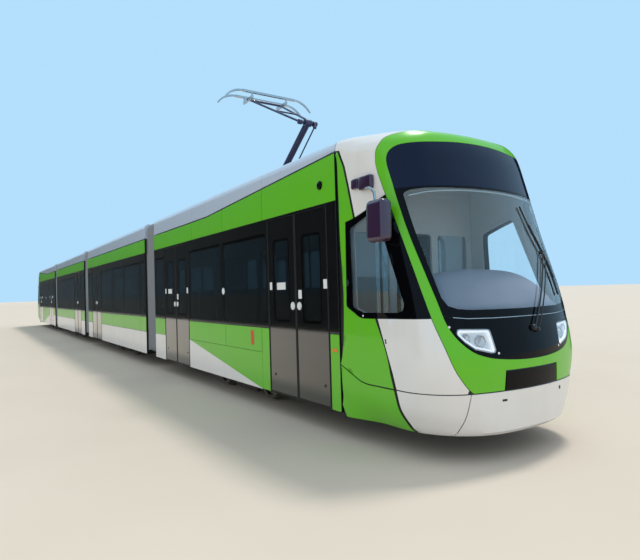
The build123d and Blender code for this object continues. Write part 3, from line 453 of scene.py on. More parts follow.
def divided(loop, spacing):
    """Closed outline with extra points in the same way."""
    return open_divided(loop + loop[:1], spacing)[:-1]


def spaced(loop, least):
    """Outline without points that crowd the one before them."""
    kept = [loop[0]]
    for x, y in loop[1:]:
        if hypot(x - kept[-1][0], y - kept[-1][1]) > least:
            kept.append((x, y))
    if hypot(kept[-1][0] - kept[0][0], kept[-1][1] - kept[0][1]) <= least:
        kept.pop()
    return kept


# %% [markdown]
# Two neighbouring panels share one drawn line, and each is cut back from it by half a joint. So
# an outline has to be moved inwards by a small distance, all round. At a corner the move is a
# little longer, so that both of its edges end up at the right distance.

# %% Move an outline
def shifted(loop, distance):
    """Outline with every edge moved to its left by a distance."""
    moved = []
    count = len(loop)
    for index, (x, y) in enumerate(loop):
        before, after = loop[index - 1], loop[(index + 1) % count]
        first = Vector((x - before[0], y - before[1])).normalized()
        second = Vector((after[0] - x, after[1] - y)).normalized()
        normal = Vector((-(first.y + second.y), first.x + second.x))
        if normal.length < 1e-6:
            normal = Vector((-first.y, first.x))
        normal.normalize()
        # A very sharp corner would run far out, so its share of the move is limited
        lean = max(0.35, normal.dot(Vector((-first.y, first.x))))
        moved.append((x + normal.x * distance / lean, y + normal.y * distance / lean))
    return moved


def distance_to(loop, x, y):
    """Shortest distance from a point to a closed outline."""
    nearest = 1e9
    for (ax, ay), (bx, by) in edges_of(loop):
        dx, dy = bx - ax, by - ay
        share = ((x - ax) * dx + (y - ay) * dy) / (dx * dx + dy * dy + 1e-12)
        share = min(1.0, max(0.0, share))
        nearest = min(nearest, hypot(ax + share * dx - x, ay + share * dy - y))
    return nearest


def inset(loop, distance):
    """Outline moved inwards, or outwards if negative, without the folds that a wide move makes."""
    loop = anticlockwise(loop)
    moved = shifted(loop, distance)
    return [p for p in moved if distance_to(loop, *p) >= 0.995 * abs(distance) - 1e-6]


# %% Round corners and arcs
def rounded(points, radius, steps=5):
    """Outline with each corner replaced by an arc. A point may carry its own radius third."""
    loop = []
    count = len(points)
    for index, point in enumerate(points):
        corner = Vector(point[:2])
        reach = point[2] if len(point) > 2 else radius
        before = Vector(points[index - 1][:2]) - corner
        after = Vector(points[(index + 1) % count][:2]) - corner
        angle = before.angle(after)
        cut = min(reach / tan(angle / 2), before.length * 0.45, after.length * 0.45)
        if cut < 1e-4 or angle > radians(178):
            loop.append(tuple(corner))
            continue
        start, end = corner + before.normalized() * cut, corner + after.normalized() * cut
        for step in range(steps + 1):
            t = step / steps
            weight = 2 * t * (1 - t) * sin(angle / 2)
            total = (1 - t) ** 2 + weight + t**2
            spot = (start * (1 - t) ** 2 + corner * weight + end * t**2) / total
            loop.append(tuple(spot))
    return loop


def arc(start, middle, end, steps=10):
    """Points of the circle arc through three points, without the last."""
    (ax, ay), (bx, by), (cx, cy) = start, middle, end
    d = 2 * (ax * (by - cy) + bx * (cy - ay) + cx * (ay - by))
    a2, b2, c2 = ax * ax + ay * ay, bx * bx + by * by, cx * cx + cy * cy
    ux = (a2 * (by - cy) + b2 * (cy - ay) + c2 * (ay - by)) / d
    uy = (a2 * (cx - bx) + b2 * (ax - cx) + c2 * (bx - ax)) / d
    first = atan2(ay - uy, ax - ux)
    turn = (atan2(cy - uy, cx - ux) - first + pi) % (2 * pi) - pi
    halfway = (atan2(by - uy, bx - ux) - first + pi) % (2 * pi) - pi
    if halfway * turn < 0:
        turn -= 2 * pi if turn > 0 else -2 * pi
    radius = hypot(ax - ux, ay - uy)
    angles = [first + turn * step / steps for step in range(steps)]
    return [(ux + radius * cos(angle), uy + radius * sin(angle)) for angle in angles]


# %% Points inside, and mirrored halves
def inside(point, loops):
    """True if a chart point lies inside the outlines, holes taken out."""
    x, y = point
    crossings = 0
    for loop in loops:
        for (ax, ay), (bx, by) in edges_of(loop):
            if (ay > y) != (by > y) and x < ax + (y - ay) * (bx - ax) / (by - ay):
                crossings += 1
    return crossings % 2 == 1


def mirrored(loop):
    """Outline mirrored about the chart's upright axis."""
    return [(-x, y) for x, y in loop]


def whole(half):
    """Closed outline from one half, whose first and last points lie on the upright axis."""
    return half + mirrored(half[-2:0:-1])


# %% [markdown]
# A curved panel needs points inside its outline too, or it would span the curve with long flat
# faces. They stand in an even grid, and only where they aren't too close to the outline.

# %% Fill an outline with triangles
def triangles(loops, spacing):
    """Chart points and triangles of the area between outlines; the outlines' points come first."""
    points = [point for loop in loops for point in loop]
    edges, start = [], 0
    for loop in loops:
        edges += [(start + i, start + (i + 1) % len(loop)) for i in range(len(loop))]
        start += len(loop)
    border = len(points)
    if spacing:
        clearance = 0.55 * spacing
        xs, ys = [p[0] for p in loops[0]], [p[1] for p in loops[0]]
        columns = ceil((max(xs) - min(xs)) / spacing)
        rows = ceil((max(ys) - min(ys)) / spacing)
        cells = {}
        for x, y in points[:border]:
            cells.setdefault((int(x // spacing), int(y // spacing)), []).append((x, y))
        for column in range(1, columns):
            for row in range(1, rows):
                x, y = min(xs) + column * spacing, min(ys) + row * spacing
                key_x, key_y = int(x // spacing), int(y // spacing)
                around = [(key_x + i, key_y + j) for i in (-1, 0, 1) for j in (-1, 0, 1)]
                near = [p for key in around for p in cells.get(key, [])]
                if all(hypot(x - a, y - b) > clearance for a, b in near) and inside((x, y), loops):
                    points.append((x, y))
    found, _, faces, _, _, _ = delaunay_2d_cdt([Vector(p) for p in points], edges, [], 0, 1e-7)
    if len(found) != len(points):
        raise ValueError(f"outlines cross or touch near {tuple(found[len(points)])}")
    kept = []
    for face in faces:
        centre = (sum(found[i].x for i in face) / 3, sum(found[i].y for i in face) / 3)
        if inside(centre, loops):
            kept.append(tuple(face))
    return points, kept, border


# %% Make one sheet
def sheet(loops, place, thickness=0.004, gap=0.0, bevel=0.001, spacing=0.0, lift=0.0):
    """Vertices and faces of a closed sheet. place(u, v, out) gives the point in space."""
    shortest = gap + bevel + 0.0005
    outer, holes = anticlockwise(loops[0]), [anticlockwise(loop)[::-1] for loop in loops[1:]]
    cleaned = [spaced(loop, shortest) for loop in [outer] + holes]
    rims = [shifted(divided(loop, spacing) if spacing else loop, gap) for loop in cleaned]
    fronts = [shifted(rim, bevel) for rim in rims]
    points, faces, border = triangles(fronts, spacing)
    rim_points = [point for rim in rims for point in rim]
    vertices = [place(u, v, lift) for u, v in points]
    vertices += [place(u, v, lift - thickness) for u, v in rim_points + points[border:]]
    vertices += [place(u, v, lift - bevel) for u, v in rim_points]
    count = len(points)
    solid = [tuple(face) for face in faces]
    solid += [tuple(count + i for i in reversed(face)) for face in faces]
    start = 0
    for rim in rims:
        for i in range(len(rim)):
            a, b = start + i, start + (i + 1) % len(rim)
            edge_a, edge_b = 2 * count + a, 2 * count + b
            solid += [(b, a, edge_a, edge_b), (edge_b, edge_a, count + a, count + b)]
        start += len(rim)
    return vertices, solid


# %% [markdown]
# Smooth shading hides the facets of a curve, and an angle limit keeps real edges crisp. Each
# piece rides on a body of the frame, so that it moves when that car does.

# %% Turn geometry into a piece
made = {}


def new_object(name, data):
    """Object that shows a mesh, a lamp or a camera, linked to the scene."""
    thing = bpy.data.objects.new(name, data)
    bpy.context.scene.collection.objects.link(thing)
    return thing


def dressed(name, vertices, faces, material, sharp):
    """Mesh object with smooth faces, sharp only where two faces meet at more than an angle."""
    mesh = bpy.data.meshes.new(name)
    mesh.from_pydata([tuple(v) for v in vertices], [], faces)
    mesh.validate()
    mesh.shade_smooth()
    mesh.set_sharp_from_angle(angle=sharp)
    mesh.materials.append(material)
    made[name] = len(faces)
    print(name, len(faces), "faces")
    return new_object(name, mesh)


def piece(name, body, material, parts, replaced=()):
    """Piece made of a list of (vertices, faces), riding on a body."""
    vertices, faces = [], []
    for part_vertices, part_faces in parts:
        start = len(vertices)
        vertices += part_vertices
        faces += [tuple(start + i for i in face) for face in part_faces]
    thing = dressed(name, vertices, faces, material, radians(35))
    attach(thing, body)
    for node in replaced:
        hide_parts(node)
    return thing


# %% [markdown]
# Pipes, pads and pleated cloth have no outline to fill. They are rings of points, one behind the
# other, and every such shape joins its rings in the same way.

# %% Join rings of points
def ring_faces(rings, count, flip=False, closed=False):
    """Faces through rings of equally many points, with a cap at each end or closed on itself."""
    last, step = (rings - 1) * count, -1 if flip else 1
    faces = []
    if not closed:
        faces = [tuple(range(count))[::-step], tuple(range(last, last + count))[::step]]
    for ring in range(rings if closed else rings - 1):
        here, there = ring * count, (ring + 1) % rings * count
        for i in range(count):
            a, b = (i, (i + 1) % count)[::step]
            faces.append((here + a, here + b, there + b, there + a))
    return faces


# %% [markdown]
# ## Everything twice
#
# The tram looks the same from both ends: turned half round, the fourth car is the first and the
# third is the second. So each piece is built once. Its twin is a second object with the same
# mesh, turned half round on the matching car, which costs no memory and keeps both ends alike.

# %% Twins on the other half of the tram
matching_car = {"car_a": "car_d", "car_b": "car_c"}


def pair(name, material, parts, replaced=()):
    """A piece on its car, and the same mesh turned half round on the matching car."""
    car = name[:len("car_a")]
    twin_car = matching_car[car]
    original = piece(name, car, material, parts, replaced)
    twin = new_object(name.replace(car, twin_car), original.data)
    twin.matrix_world = Matrix.Rotation(pi, 4, "Z")
    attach(twin, twin_car)
    for node in replaced:
        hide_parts(node.replace(car, twin_car))


# %% Place sheets on the flat sides
def on_side(side):
    """Placing function for the flat side of a car: the chart is x and z."""
    return lambda x, z, out: (x, side * (side_y + out), z)


def side_sheets(
    outlines, gap=joint / 2, thickness=panel_thickness, lift=panel_thickness, bevel=0.001
):
    """The same flat sheets on the right and the left side. Each entry is a list of outlines."""
    # The backs stay just off the shell, because two faces in one plane flicker
    thickness -= 0.0002
    sheets = []
    for side in (-1, 1):
        for loops in outlines:
            sheets.append(sheet(loops, on_side(side), thickness, gap, bevel, 0.0, lift))
    return sheets


def rectangle(rear, front, low, high):
    """Closed outline of an upright rectangle."""
    return [(rear, low), (front, low), (front, high), (rear, high)]


# %% [markdown]
# ## The sides of the first car
#
# Between the doors the lower side is green with a white wedge, and the band under the roof is
# green and rises towards the cab. On the tram these are separate panels with open joints between
# them. Painting them on one big face would lose the joints, so each panel is its own sheet a few
# millimetres thick, and the dark shell shows through the joints.

# %% Doors and panes of the cars
door_half = 0.773
door_edge = door_half + joint
doors_a = [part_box("car_a_doors")[1].x - door_half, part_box("car_a_doors")[0].x + door_half]
door_b = (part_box("car_b_doors")[0].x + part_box("car_b_doors")[1].x) / 2
panes_a = [(8.966, 9.685), (11.265, 12.940), (12.946, 14.630)]
panes_b = [(0.426, 1.175), (2.755, 4.397), (4.403, 5.827), (5.833, 7.617), (7.623, 8.114)]
flap_line = 0.853
lower_top = window_low - 0.005
front_a, rear_a = doors_a
front_end = seam_x - 0.004
print("doors at", [round(x, 3) for x in doors_a], round(door_b, 3))

# %% Lower panels of the first car
flap_split, flap_end = 13.06, 14.40
wedge_start = (rear_a + door_edge, flap_line)
wedge_end = (flap_end, skirt_low)
green_lower_a = [
    [rectangle(car_a_rear, rear_a - door_edge, flap_line, lower_top)],
    [rectangle(rear_a + door_edge, flap_split, flap_line, lower_top)],
    [rectangle(flap_split, flap_end, flap_line, lower_top)],
    [rectangle(flap_end, front_a - door_edge, skirt_low, lower_top)],
    [rectangle(front_a + door_edge, front_end, skirt_low, lower_top)],
]
pair("car_a_green_flaps", green, side_sheets(green_lower_a))
wedge_green = [[[wedge_start, wedge_end, (flap_end, flap_line)]]]
hairline = 0.0004
pair("car_a_green_wedge", green, side_sheets(wedge_green, gap=hairline))
white_lower_a = [
    [[(wedge_start[0], skirt_low), wedge_end, wedge_start]],
    [rectangle(car_a_rear, rear_a - door_edge, skirt_low, flap_line)],
]
pair("car_a_white_wedge", white, side_sheets(white_lower_a, gap=hairline))


# %% Green band under the roof
rise_start = 12.270
rise_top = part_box("car_a_shell")[1].z


def rising_top(x):
    """Height of the green band's top edge on the first car, which rises towards the cab."""
    share = max(0.0, (x - rise_start) / (seam_x - rise_start))
    return cantrail_high + share * (rise_top - cantrail_high)


band_seams_a = [car_a_rear, 11.5, 13.0, 14.5, front_end]
band_a = []
for rear, front in zip(band_seams_a, band_seams_a[1:]):
    outline = [(rear, window_high), (front, window_high), (front, rising_top(front))]
    if rear < rise_start < front:
        outline.append((rise_start, cantrail_high))
    outline.append((rear, rising_top(rear)))
    band_a.append([outline])
pair("car_a_green_band", green, side_sheets(band_a))

# %% [markdown]
# ## The window band
#
# From outside the windows look like one long black band. It is made of two things: tinted panes,
# and black glossy fields between them that hide the posts. Each pane also has a black printed
# edge, which is a ring a little over a millimetre thick. Its round inner corners are what the eye
# takes for the window's own shape.


# %% Black pillars and portals
def pillar_sheets(rear, front, panes, doors):
    """Gloss black fields between the panes and doors, from the sill to the green band."""
    narrowest = 0.012
    taken = sorted(panes + [(centre - door_edge, centre + door_edge) for centre in doors])
    starts = [rear] + [end for _, end in taken]
    ends = [start for start, _ in taken] + [front]
    free = [(start, end, window_low) for start, end in zip(starts, ends) if end - start > narrowest]
    free += [(centre - door_edge, centre + door_edge, door_high + 0.006) for centre in doors]
    fields = [[rectangle(start, end, low, window_high)] for start, end, low in free]
    return side_sheets(fields, gap=0.001)


def pane_frames(panes):
    """Black printed border on each pane, with round inner corners."""
    edge, border, header = 0.003, 0.05, 0.19
    frames = []
    for rear, front in panes:
        outer = rectangle(rear + edge, front - edge, window_low + edge, window_high - edge)
        hole = rectangle(rear + border, front - border, window_low + border, window_high - header)
        frames.append([outer, rounded(hole, 0.05)])
    return side_sheets(frames, gap=0.0005, thickness=0.0014, lift=0.0014, bevel=0.0003)


pillars_a = pillar_sheets(car_a_rear, front_end, panes_a, doors_a)
pair("car_a_pillars", gloss_black, pillars_a)
pair("car_a_pane_frames", gloss_black, pane_frames(panes_a))

# %% [markdown]
# ## The middle cars
#
# The middle cars repeat the scheme without the wedge: green above the flap line, white below.

# %% Panels of the middle cars
flap_seams_b = [door_b + door_edge, 4.40, 5.83, 7.62, car_b_front]
green_b, white_b = [], []
for rear, front in [(car_b_rear, door_b - door_edge)] + list(zip(flap_seams_b, flap_seams_b[1:])):
    green_b.append([rectangle(rear, front, flap_line, lower_top)])
    white_b.append([rectangle(rear, front, skirt_low, flap_line)])
pair("car_b_green_flaps", green, side_sheets(green_b))
pair("car_b_white_skirts", white, side_sheets(white_b))
band_seams_b = [car_b_rear, 2.29, 4.27, 6.25, car_b_front]
bands = zip(band_seams_b, band_seams_b[1:])
band_b = [[rectangle(rear, front, window_high, cantrail_high)] for rear, front in bands]
pair("car_b_green_band", green, side_sheets(band_b))
pillars_b = pillar_sheets(car_b_rear, car_b_front, panes_b, [door_b])
pair("car_b_pillars", gloss_black, pillars_b)
pair("car_b_pane_frames", gloss_black, pane_frames(panes_b))
print("side pieces:", len(made))

# %% [markdown]
# ## Doors
#
# Each doorway has two black leaves. The frame holds the leaves and their glass. What is missing
# is the rubber that closes the gaps, and the round buttons beside the middle joint. A button is a
# rim with a raised cap inside it, so that it catches the light as a moulded one does.

# %% Door trim
def raised(outlines, height, bevel):
    """Flat parts that stand on the sides of a car, by a height of their own."""
    return side_sheets(outlines, gap=0.0, thickness=height, lift=height, bevel=bevel)


def circle(x, z, diameter, points=20):
    """Outline of a circle on the side of a car."""
    turns = [2 * pi * i / points for i in range(points)]
    return [(x + diameter / 2 * cos(turn), z + diameter / 2 * sin(turn)) for turn in turns]


def door_trim(centres):
    """Rubber strips down the edges and the middle of each doorway."""
    edge, middle = 0.012, 0.026
    strips = []
    for centre in centres:
        for offset, half in ((-door_half + edge, edge), (0.0, middle), (door_half - edge, edge)):
            rear, front = centre + offset - half, centre + offset + half
            strips.append([rectangle(rear, front, door_low, door_high)])
    return raised(strips, 0.004, 0.002)


def door_buttons(centres):
    """Round door buttons, one on each leaf beside the middle joint, each a rim and a raised cap."""
    button_z, button_offset = 1.55, 0.085
    sides = (-button_offset, button_offset)
    spots = [(centre + offset, button_z) for centre in centres for offset in sides]
    rims = [[circle(x, z, 0.108), circle(x, z, 0.084)] for x, z in spots]
    caps = [[circle(x, z, 0.078)] for x, z in spots]
    return raised(rims, 0.006, 0.002) + raised(caps, 0.010, 0.004)


for car, centres in (("car_a", doors_a), ("car_b", [door_b])):
    pair(f"{car}_door_rubber", rubber, door_trim(centres))
    pair(f"{car}_door_buttons", label_white, door_buttons(centres))


# %% [markdown]
# ## Small plates and marks
#
# Each doorway of the first car has four white notices and, near its foot, dark caps over its
# fixings. Between and beside the doorways are an orange side lamp, a red mark and a round white
# one on a pane. All are thin plates, and the notices stay blank. They come from a short table, so
# each doorway gets the same set and one changed number moves a notice at every door.

# %% Blank labels and marks on the side
def small_plates(entries, thickness, radius=0.006):
    """Small flat plates with round corners: rear, front, low, high each."""
    return raised([[rounded(rectangle(*entry), radius)] for entry in entries], thickness, 0.0006)


# Offset from the doorway's middle, width, middle height, height
door_labels = [
    (-0.69, 0.065, 1.830, 0.110),
    (-0.39, 0.240, 1.824, 0.100),
    (0.11, 0.080, 1.704, 0.115),
    (0.71, 0.080, 1.826, 0.115),
]
labels_a = []
for centre in doors_a:
    for offset, wide, z, high in door_labels:
        x = centre + offset
        labels_a.append((x - wide / 2, x + wide / 2, z - high / 2, z + high / 2))
marker, mark = (16.250, 16.350, 1.008, 1.046), (14.030, 14.135, 0.945, 1.165)
pair("car_a_labels", label_white, small_plates(labels_a, 0.004))
pair("car_a_side_marker", orange, small_plates([marker], 0.008, 0.012))
pair("car_a_flap_mark", red_orange, small_plates([mark], 0.006, 0.02))

# %% Round marks
pane_mark = circle(12.99, 1.783, 0.115)
foot_caps = [[circle(x + offset, 0.575, 0.042)] for x in doors_a for offset in (-0.62, 0.65)]
pair("car_a_pane_mark", label_white, raised([[pane_mark]], 0.004, 0.001))
pair("car_a_door_foot_caps", satin_black, raised(foot_caps, 0.005, 0.002))

# %% [markdown]
# ## The cab's curved surface
#
# The nose is the part that everyone looks at. At each height its plan is the same kind of curve:
# a wide arc across the front, a tighter arc at each corner, then a straight side. Only four
# numbers change with height: the half width, how far the nose stands back, and the two radii. A
# short table gives them at a few heights, and a smooth curve through the table gives them
# everywhere else. A point of the surface is then named by how far round the plan it lies and by
# its height.

# %% Table of the cab's sections
# Height, half width, setback of the nose, front radius, corner radius
cab_sections = [
    (cab_low, 1.060, 0.070, 2.700, 0.790),
    (cab_low + 0.036, 1.096, 0.034, 2.690, 0.790),
    (0.560, 1.1965, 0.022, 2.680, 0.670),
    (0.960, side_y, 0.000, 2.660, 0.436),
    (1.450, side_y, 0.080, 2.690, 0.400),
    (2.400, side_y - 0.002, 0.355, 2.800, 0.530),
    (3.000, side_y - 0.004, 0.530, 3.130, 0.574),
    (3.300, side_y - 0.012, 0.623, 3.290, 0.595),
    (3.440, 1.090, 0.705, 3.370, 0.600),
    (3.505, 0.975, 0.890, 3.400, 0.600),
    (roof_high, 0.860, 1.150, 3.400, 0.540),
]


# %% [markdown]
# A plain spline swings past its points, and a nose with a hollow in it looks dented. The slope at
# each row is therefore the harmonic mean of its neighbours' slopes, which never overshoots.

# %% Smooth curve through a table
def slopes(xs, ys):
    """Slope at each point of a curve that never swings past its points."""
    steps = [(yb - ya) / (xb - xa) for xa, xb, ya, yb in zip(xs, xs[1:], ys, ys[1:])]
    result = [steps[0]]
    for before, after in zip(steps, steps[1:]):
        result.append(0.0 if before * after <= 0 else 2 * before * after / (before + after))
    return result + [steps[-1]]


def smooth_value(xs, ys, tangents, x):
    """Value of that curve at one place."""
    index = max(i for i in range(len(xs) - 1) if xs[i] <= x or i == 0)
    width = xs[index + 1] - xs[index]
    t = (x - xs[index]) / width
    return (
        (2 * t**3 - 3 * t**2 + 1) * ys[index]
        + (t**3 - 2 * t**2 + t) * width * tangents[index]
        + (3 * t**2 - 2 * t**3) * ys[index + 1]
        + (t**3 - t**2) * width * tangents[index + 1]
    )


heights = [row[0] for row in cab_sections]
columns = [[row[i] for row in cab_sections] for i in range(1, 5)]
tangents = [slopes(heights, column) for column in columns]

# %% [markdown]
# Near the roof the nose runs almost level: it goes back a quarter of a metre while it rises by
# two centimetres. A chart in plain heights would squeeze that stretch into nothing. So the chart
# counts the climb along the middle of the nose instead, as a tape measure laid on it would.

# %% Climb along the nose
rungs = 2000
rung = (heights[-1] - heights[0]) / rungs
rung_heights = [heights[0] + rung * i for i in range(rungs + 1)]
setbacks = [smooth_value(heights, columns[1], tangents[1], z) for z in rung_heights]
climbs = [0.0]
for low, high in zip(setbacks, setbacks[1:]):
    climbs.append(climbs[-1] + hypot(rung, high - low))


def climb(z):
    """Length along the middle of the nose from its foot up to a height."""
    place = min(max((z - heights[0]) / rung, 0.0), rungs - 1e-6)
    index = int(place)
    return climbs[index] + (place - index) * (climbs[index + 1] - climbs[index])


def descend(v):
    """Height at that length."""
    v = min(max(v, 0.0), climbs[-1])
    index = min(bisect_right(climbs, v) - 1, rungs - 1)
    share = (v - climbs[index]) / (climbs[index + 1] - climbs[index])
    return heights[0] + rung * (index + share)


# %% One section of the cab
@lru_cache(maxsize=None)
def section(z):
    """Plan of the cab at a height: half width, the two arcs, turn of the front, lengths."""
    z = min(max(z, heights[0]), heights[-1])
    curves = zip(columns, tangents)
    half, setback, front, corner = (smooth_value(heights, c, t, z) for c, t in curves)
    centre_x = nose_x - setback - front
    corner_y = half - corner
    corner_x = centre_x + sqrt((front - corner) ** 2 - corner_y**2)
    turn = atan2(corner_y, corner_x - centre_x)
    front_length = front * turn
    round_length = front_length + corner * (pi / 2 - turn)
    return half, centre_x, front, corner, corner_x, corner_y, turn, front_length, round_length


# %% From chart to space and back
def plain_point(s, z):
    """Point of the cab's plan at a distance round it from the middle."""
    half, centre_x, front, corner, corner_x, corner_y, turn, front_length, round_length = section(z)
    side = 1 if s >= 0 else -1
    s = abs(s)
    if s <= front_length:
        return Vector((centre_x + front * cos(s / front), side * front * sin(s / front), z))
    if s <= round_length:
        angle = turn + (s - front_length) / corner
        return Vector((corner_x + corner * cos(angle), side * (corner_y + corner * sin(angle)), z))
    return Vector((corner_x - (s - round_length), side * half, z))


# %% [markdown]
# Behind the cab the roof panels have a squarer edge than the cab's own plan. If both kept their
# own shape, a step would show at the seam. So the cab is widened a little near the seam, by just
# as much as its edge needs there, and the widening fades out towards the nose.

# %% Shoulder of the cab near its seam
# Radius of the roof panels' edge, their half width, and where the widening fades out
fairing_round = 0.110
fairing_half = side_y - 0.008
shoulder_front = 17.060


def shoulder(x, z):
    """How much wider the cab is near its seam, where its roof edge meets the squarer fairing."""
    rise = min(max(z - (roof_high - fairing_round), 0.0), fairing_round)
    fairing = fairing_half - fairing_round + sqrt(fairing_round**2 - rise**2)
    share = min(max((shoulder_front - x) / (shoulder_front - seam_x), 0.0), 1.0)
    return 1.0 + max(fairing / section(z)[0] - 1.0, 0.0) * share**2 * (3 - 2 * share)


def cab_point(s, v):
    """Point of the cab at a distance round its plan from the middle, and a climb."""
    point = plain_point(s, descend(v))
    point.y *= shoulder(point.x, point.z)
    return point


# %% Chart points from the front view and the side view
def from_front(y, z):
    """Chart point of a place seen from the front."""
    half, _, front, corner, _, corner_y, turn, front_length, _ = section(z)
    reach = abs(y)
    if reach <= front * sin(turn):
        s = front * asin(reach / front)
    else:
        s = front_length + corner * (asin(min(1.0, (reach - corner_y) / corner)) - turn)
    return (s if y >= 0 else -s, climb(z))


def from_side(x, z):
    """Chart point, on the left, of a place seen from the side."""
    _, centre_x, front, corner, corner_x, _, turn, front_length, round_length = section(z)
    if x <= corner_x:
        return (round_length + corner_x - x, climb(z))
    if x <= corner_x + corner * cos(turn):
        return (front_length + corner * (acos((x - corner_x) / corner) - turn), climb(z))
    return (front * acos(min(1.0, (x - centre_x) / front)), climb(z))


# %% Points off the surface
def on_cab(s, v, out):
    """Placing function for the cab: a chart point, moved outwards along the surface's normal."""
    small = 0.002
    across = cab_point(s + small, v) - cab_point(s - small, v)
    upwards = cab_point(s, min(v + small, climbs[-1])) - cab_point(s, max(v - small, 0.0))
    return cab_point(s, v) + across.cross(upwards).normalized() * out


print("cab surface: front", tuple(round(v, 3) for v in cab_point(0, climb(0.96))))

# %% [markdown]
# ## Outlines on the nose
#
# The windscreen and the black lamp panel below it share one outline, seen from the front as a
# tall shield. A green band frames it. The outlines are drawn in front view for one half, as
# points with a smooth curve through them, and then mirrored. Lines further back are drawn in side
# view. Both kinds are turned into chart points.

# %% Lines and curves in the two views
cell = 0.05


def front_view(points):
    """Chart points of a line drawn as seen from the front."""
    return [from_front(y, z) for y, z in open_divided(points, cell)]


def side_view(points):
    """Chart points of a line drawn as seen from the left side."""
    return [from_side(x, z) for x, z in open_divided(points, cell)]


def blended(p, q, r, s, t):
    """Value between q and r on the smooth curve through four values."""
    return 0.5 * (
        2 * q + (r - p) * t + (2 * p - 5 * q + 4 * r - s) * t**2 + (3 * q - p - 3 * r + s) * t**3
    )


def curve_through(points, steps=4):
    """Smooth open curve through points, by Catmull and Rom's rule."""
    ends = [points[0]] + points + [points[-1]]
    curve = []
    for four in zip(ends, ends[1:], ends[2:], ends[3:]):
        for step in range(steps):
            curve.append(tuple(blended(*values, step / steps) for values in zip(*four)))
    return curve + [points[-1]]


# %% Shield outline
# Sideways reach and height, from the top middle down to the foot
shield_half = curve_through([
    (0.0, 3.344), (0.300, 3.337), (0.560, 3.319), (0.780, 3.300), (0.940, 3.284), (1.030, 3.262),
    (1.086, 3.212), (1.112, 3.140), (1.119, 3.050), (1.115, 2.870), (1.109, 2.630), (1.089, 2.205),
    (1.062, 1.843), (1.032, 1.597), (0.998, 1.400), (0.944, 1.275), (0.872, 1.185), (0.772, 1.105),
    (0.660, 1.060), (0.540, 1.032), (0.340, 1.010), (0.150, 0.999), (0.0, 0.997),
])
band_line = [(0.0, 2.822), (0.300, 2.820), (0.600, 2.812), (0.900, 2.799)]
band_z = 2.786
foot_line = [(0.0, 1.424), (0.500, 1.424), (0.780, 1.430), (0.930, 1.446)]
split_z = 1.470


def reach_at(line, z):
    """Sideways reach of a line at a height. The line runs steadily up or down."""
    for (ya, za), (yb, zb) in zip(line, line[1:]):
        if min(za, zb) <= z <= max(za, zb):
            return ya + (z - za) / (zb - za) * (yb - ya)
    raise ValueError(f"the line doesn't reach {z}")


def between(line, first, last):
    """Part of a line between two heights, in the order first to last."""
    margin = 0.002
    low, high = min(first, last) + margin, max(first, last) - margin
    inner = sorted((p for p in line if low < p[1] < high), key=lambda p: p[1])
    inner = inner if first < last else inner[::-1]
    return [(reach_at(line, first), first)] + inner + [(reach_at(line, last), last)]


# %% Outer edge of the green ring
skirt_z = 0.702
ring_foot = skirt_z + 0.005
ring_top = 3.490
ring_edge = curve_through([
    (0.792, ring_foot), (0.868, 0.780), (0.983, 0.964), (1.057, 1.221), (1.102, 1.459),
    (1.124, 1.702), (1.134, 1.974), (1.142, 2.278), (1.153, 2.548), (1.165, 2.771), (1.171, 3.000),
    (1.166, 3.145), (1.143, 3.275), (1.080, 3.368), (0.985, 3.418), (0.850, 3.449), (0.650, 3.470),
    (0.400, 3.484), (0.0, ring_top),
])


def ring_line(first, last):
    """Chart points of the ring's outer edge between two heights."""
    return [from_front(y, z) for y, z in between(ring_edge, first, last)]


# %% Edges of the side window
window_top_z, window_foot_z = 2.735, 1.442
window_top = arc((17.245, window_top_z), (16.960, 2.616), (16.570, 2.526), 14) + [(16.570, 2.526)]
window_rear = curve_through([(16.555, 1.660), (16.552, 1.585), (16.566, 1.548), (16.620, 1.519)])
window_rear += curve_through([(16.740, 1.459), (16.795, 1.435), (16.850, 1.426)])
window_foot_x = 17.0
window_rear.append((window_foot_x, 1.426))
groove_x, groove_bend_x, groove_foot_x = 17.100, 17.320, 17.505
groove_bend_z, groove_foot_z = 0.860, 0.250
groove_width = 0.040


def groove_at(z):
    """Front edge of the slanted groove at a height below its bend."""
    share = (groove_bend_z - z) / (groove_bend_z - groove_foot_z)
    return groove_bend_x + share * (groove_foot_x - groove_bend_x)


def split_at(line, x):
    """Front and rear part of the window's top edge, cut at a place along the tram."""
    front = [point for point in line if point[0] > x]
    rear = line[len(front):]
    share = (front[-1][0] - x) / (front[-1][0] - rear[0][0])
    cut = (x, front[-1][1] + share * (rear[0][1] - front[-1][1]))
    return front + [cut], [cut] + rear


# %% [markdown]
# ## Panels of the cab
#
# Each panel is one closed outline in the chart. Neighbours share their edges and each is drawn in
# by half a joint, so a dark line of even width runs between them, as on the tram.

# %% Outlines of the upper panels
seam = seam_x + 0.003
strip_line = [(16.445, 3.375), (16.553, 3.165), (16.622, 2.935), (16.722, 2.610)]
strip_width = 0.032
green_rear = split_at(window_top, strip_line[-1][0])[1]
white_front = split_at(window_top, strip_line[-1][0] + strip_width)[0]
strip_rear = [(seam, 3.345), (seam + 0.012, 3.372)] + strip_line[:-1] + [green_rear[0]]
white_line = [(x + strip_width, z + 0.004) for x, z in strip_line[:-1]] + [white_front[-1]]
cap_strip = side_view(strip_rear) + side_view([(seam, 3.390), *white_line][::-1])

rise = [(seam, 0.874), (16.630, 0.780), (16.780, 0.724), (16.900, ring_foot)]
green_side = side_view(strip_rear)
green_side += side_view(green_rear + window_rear + [(groove_x - groove_width, 1.429)])[1:]
green_side += side_view([(groove_bend_x - groove_width, groove_bend_z)])
green_side += side_view([(groove_at(ring_foot) - groove_width, ring_foot)] + rise[::-1])

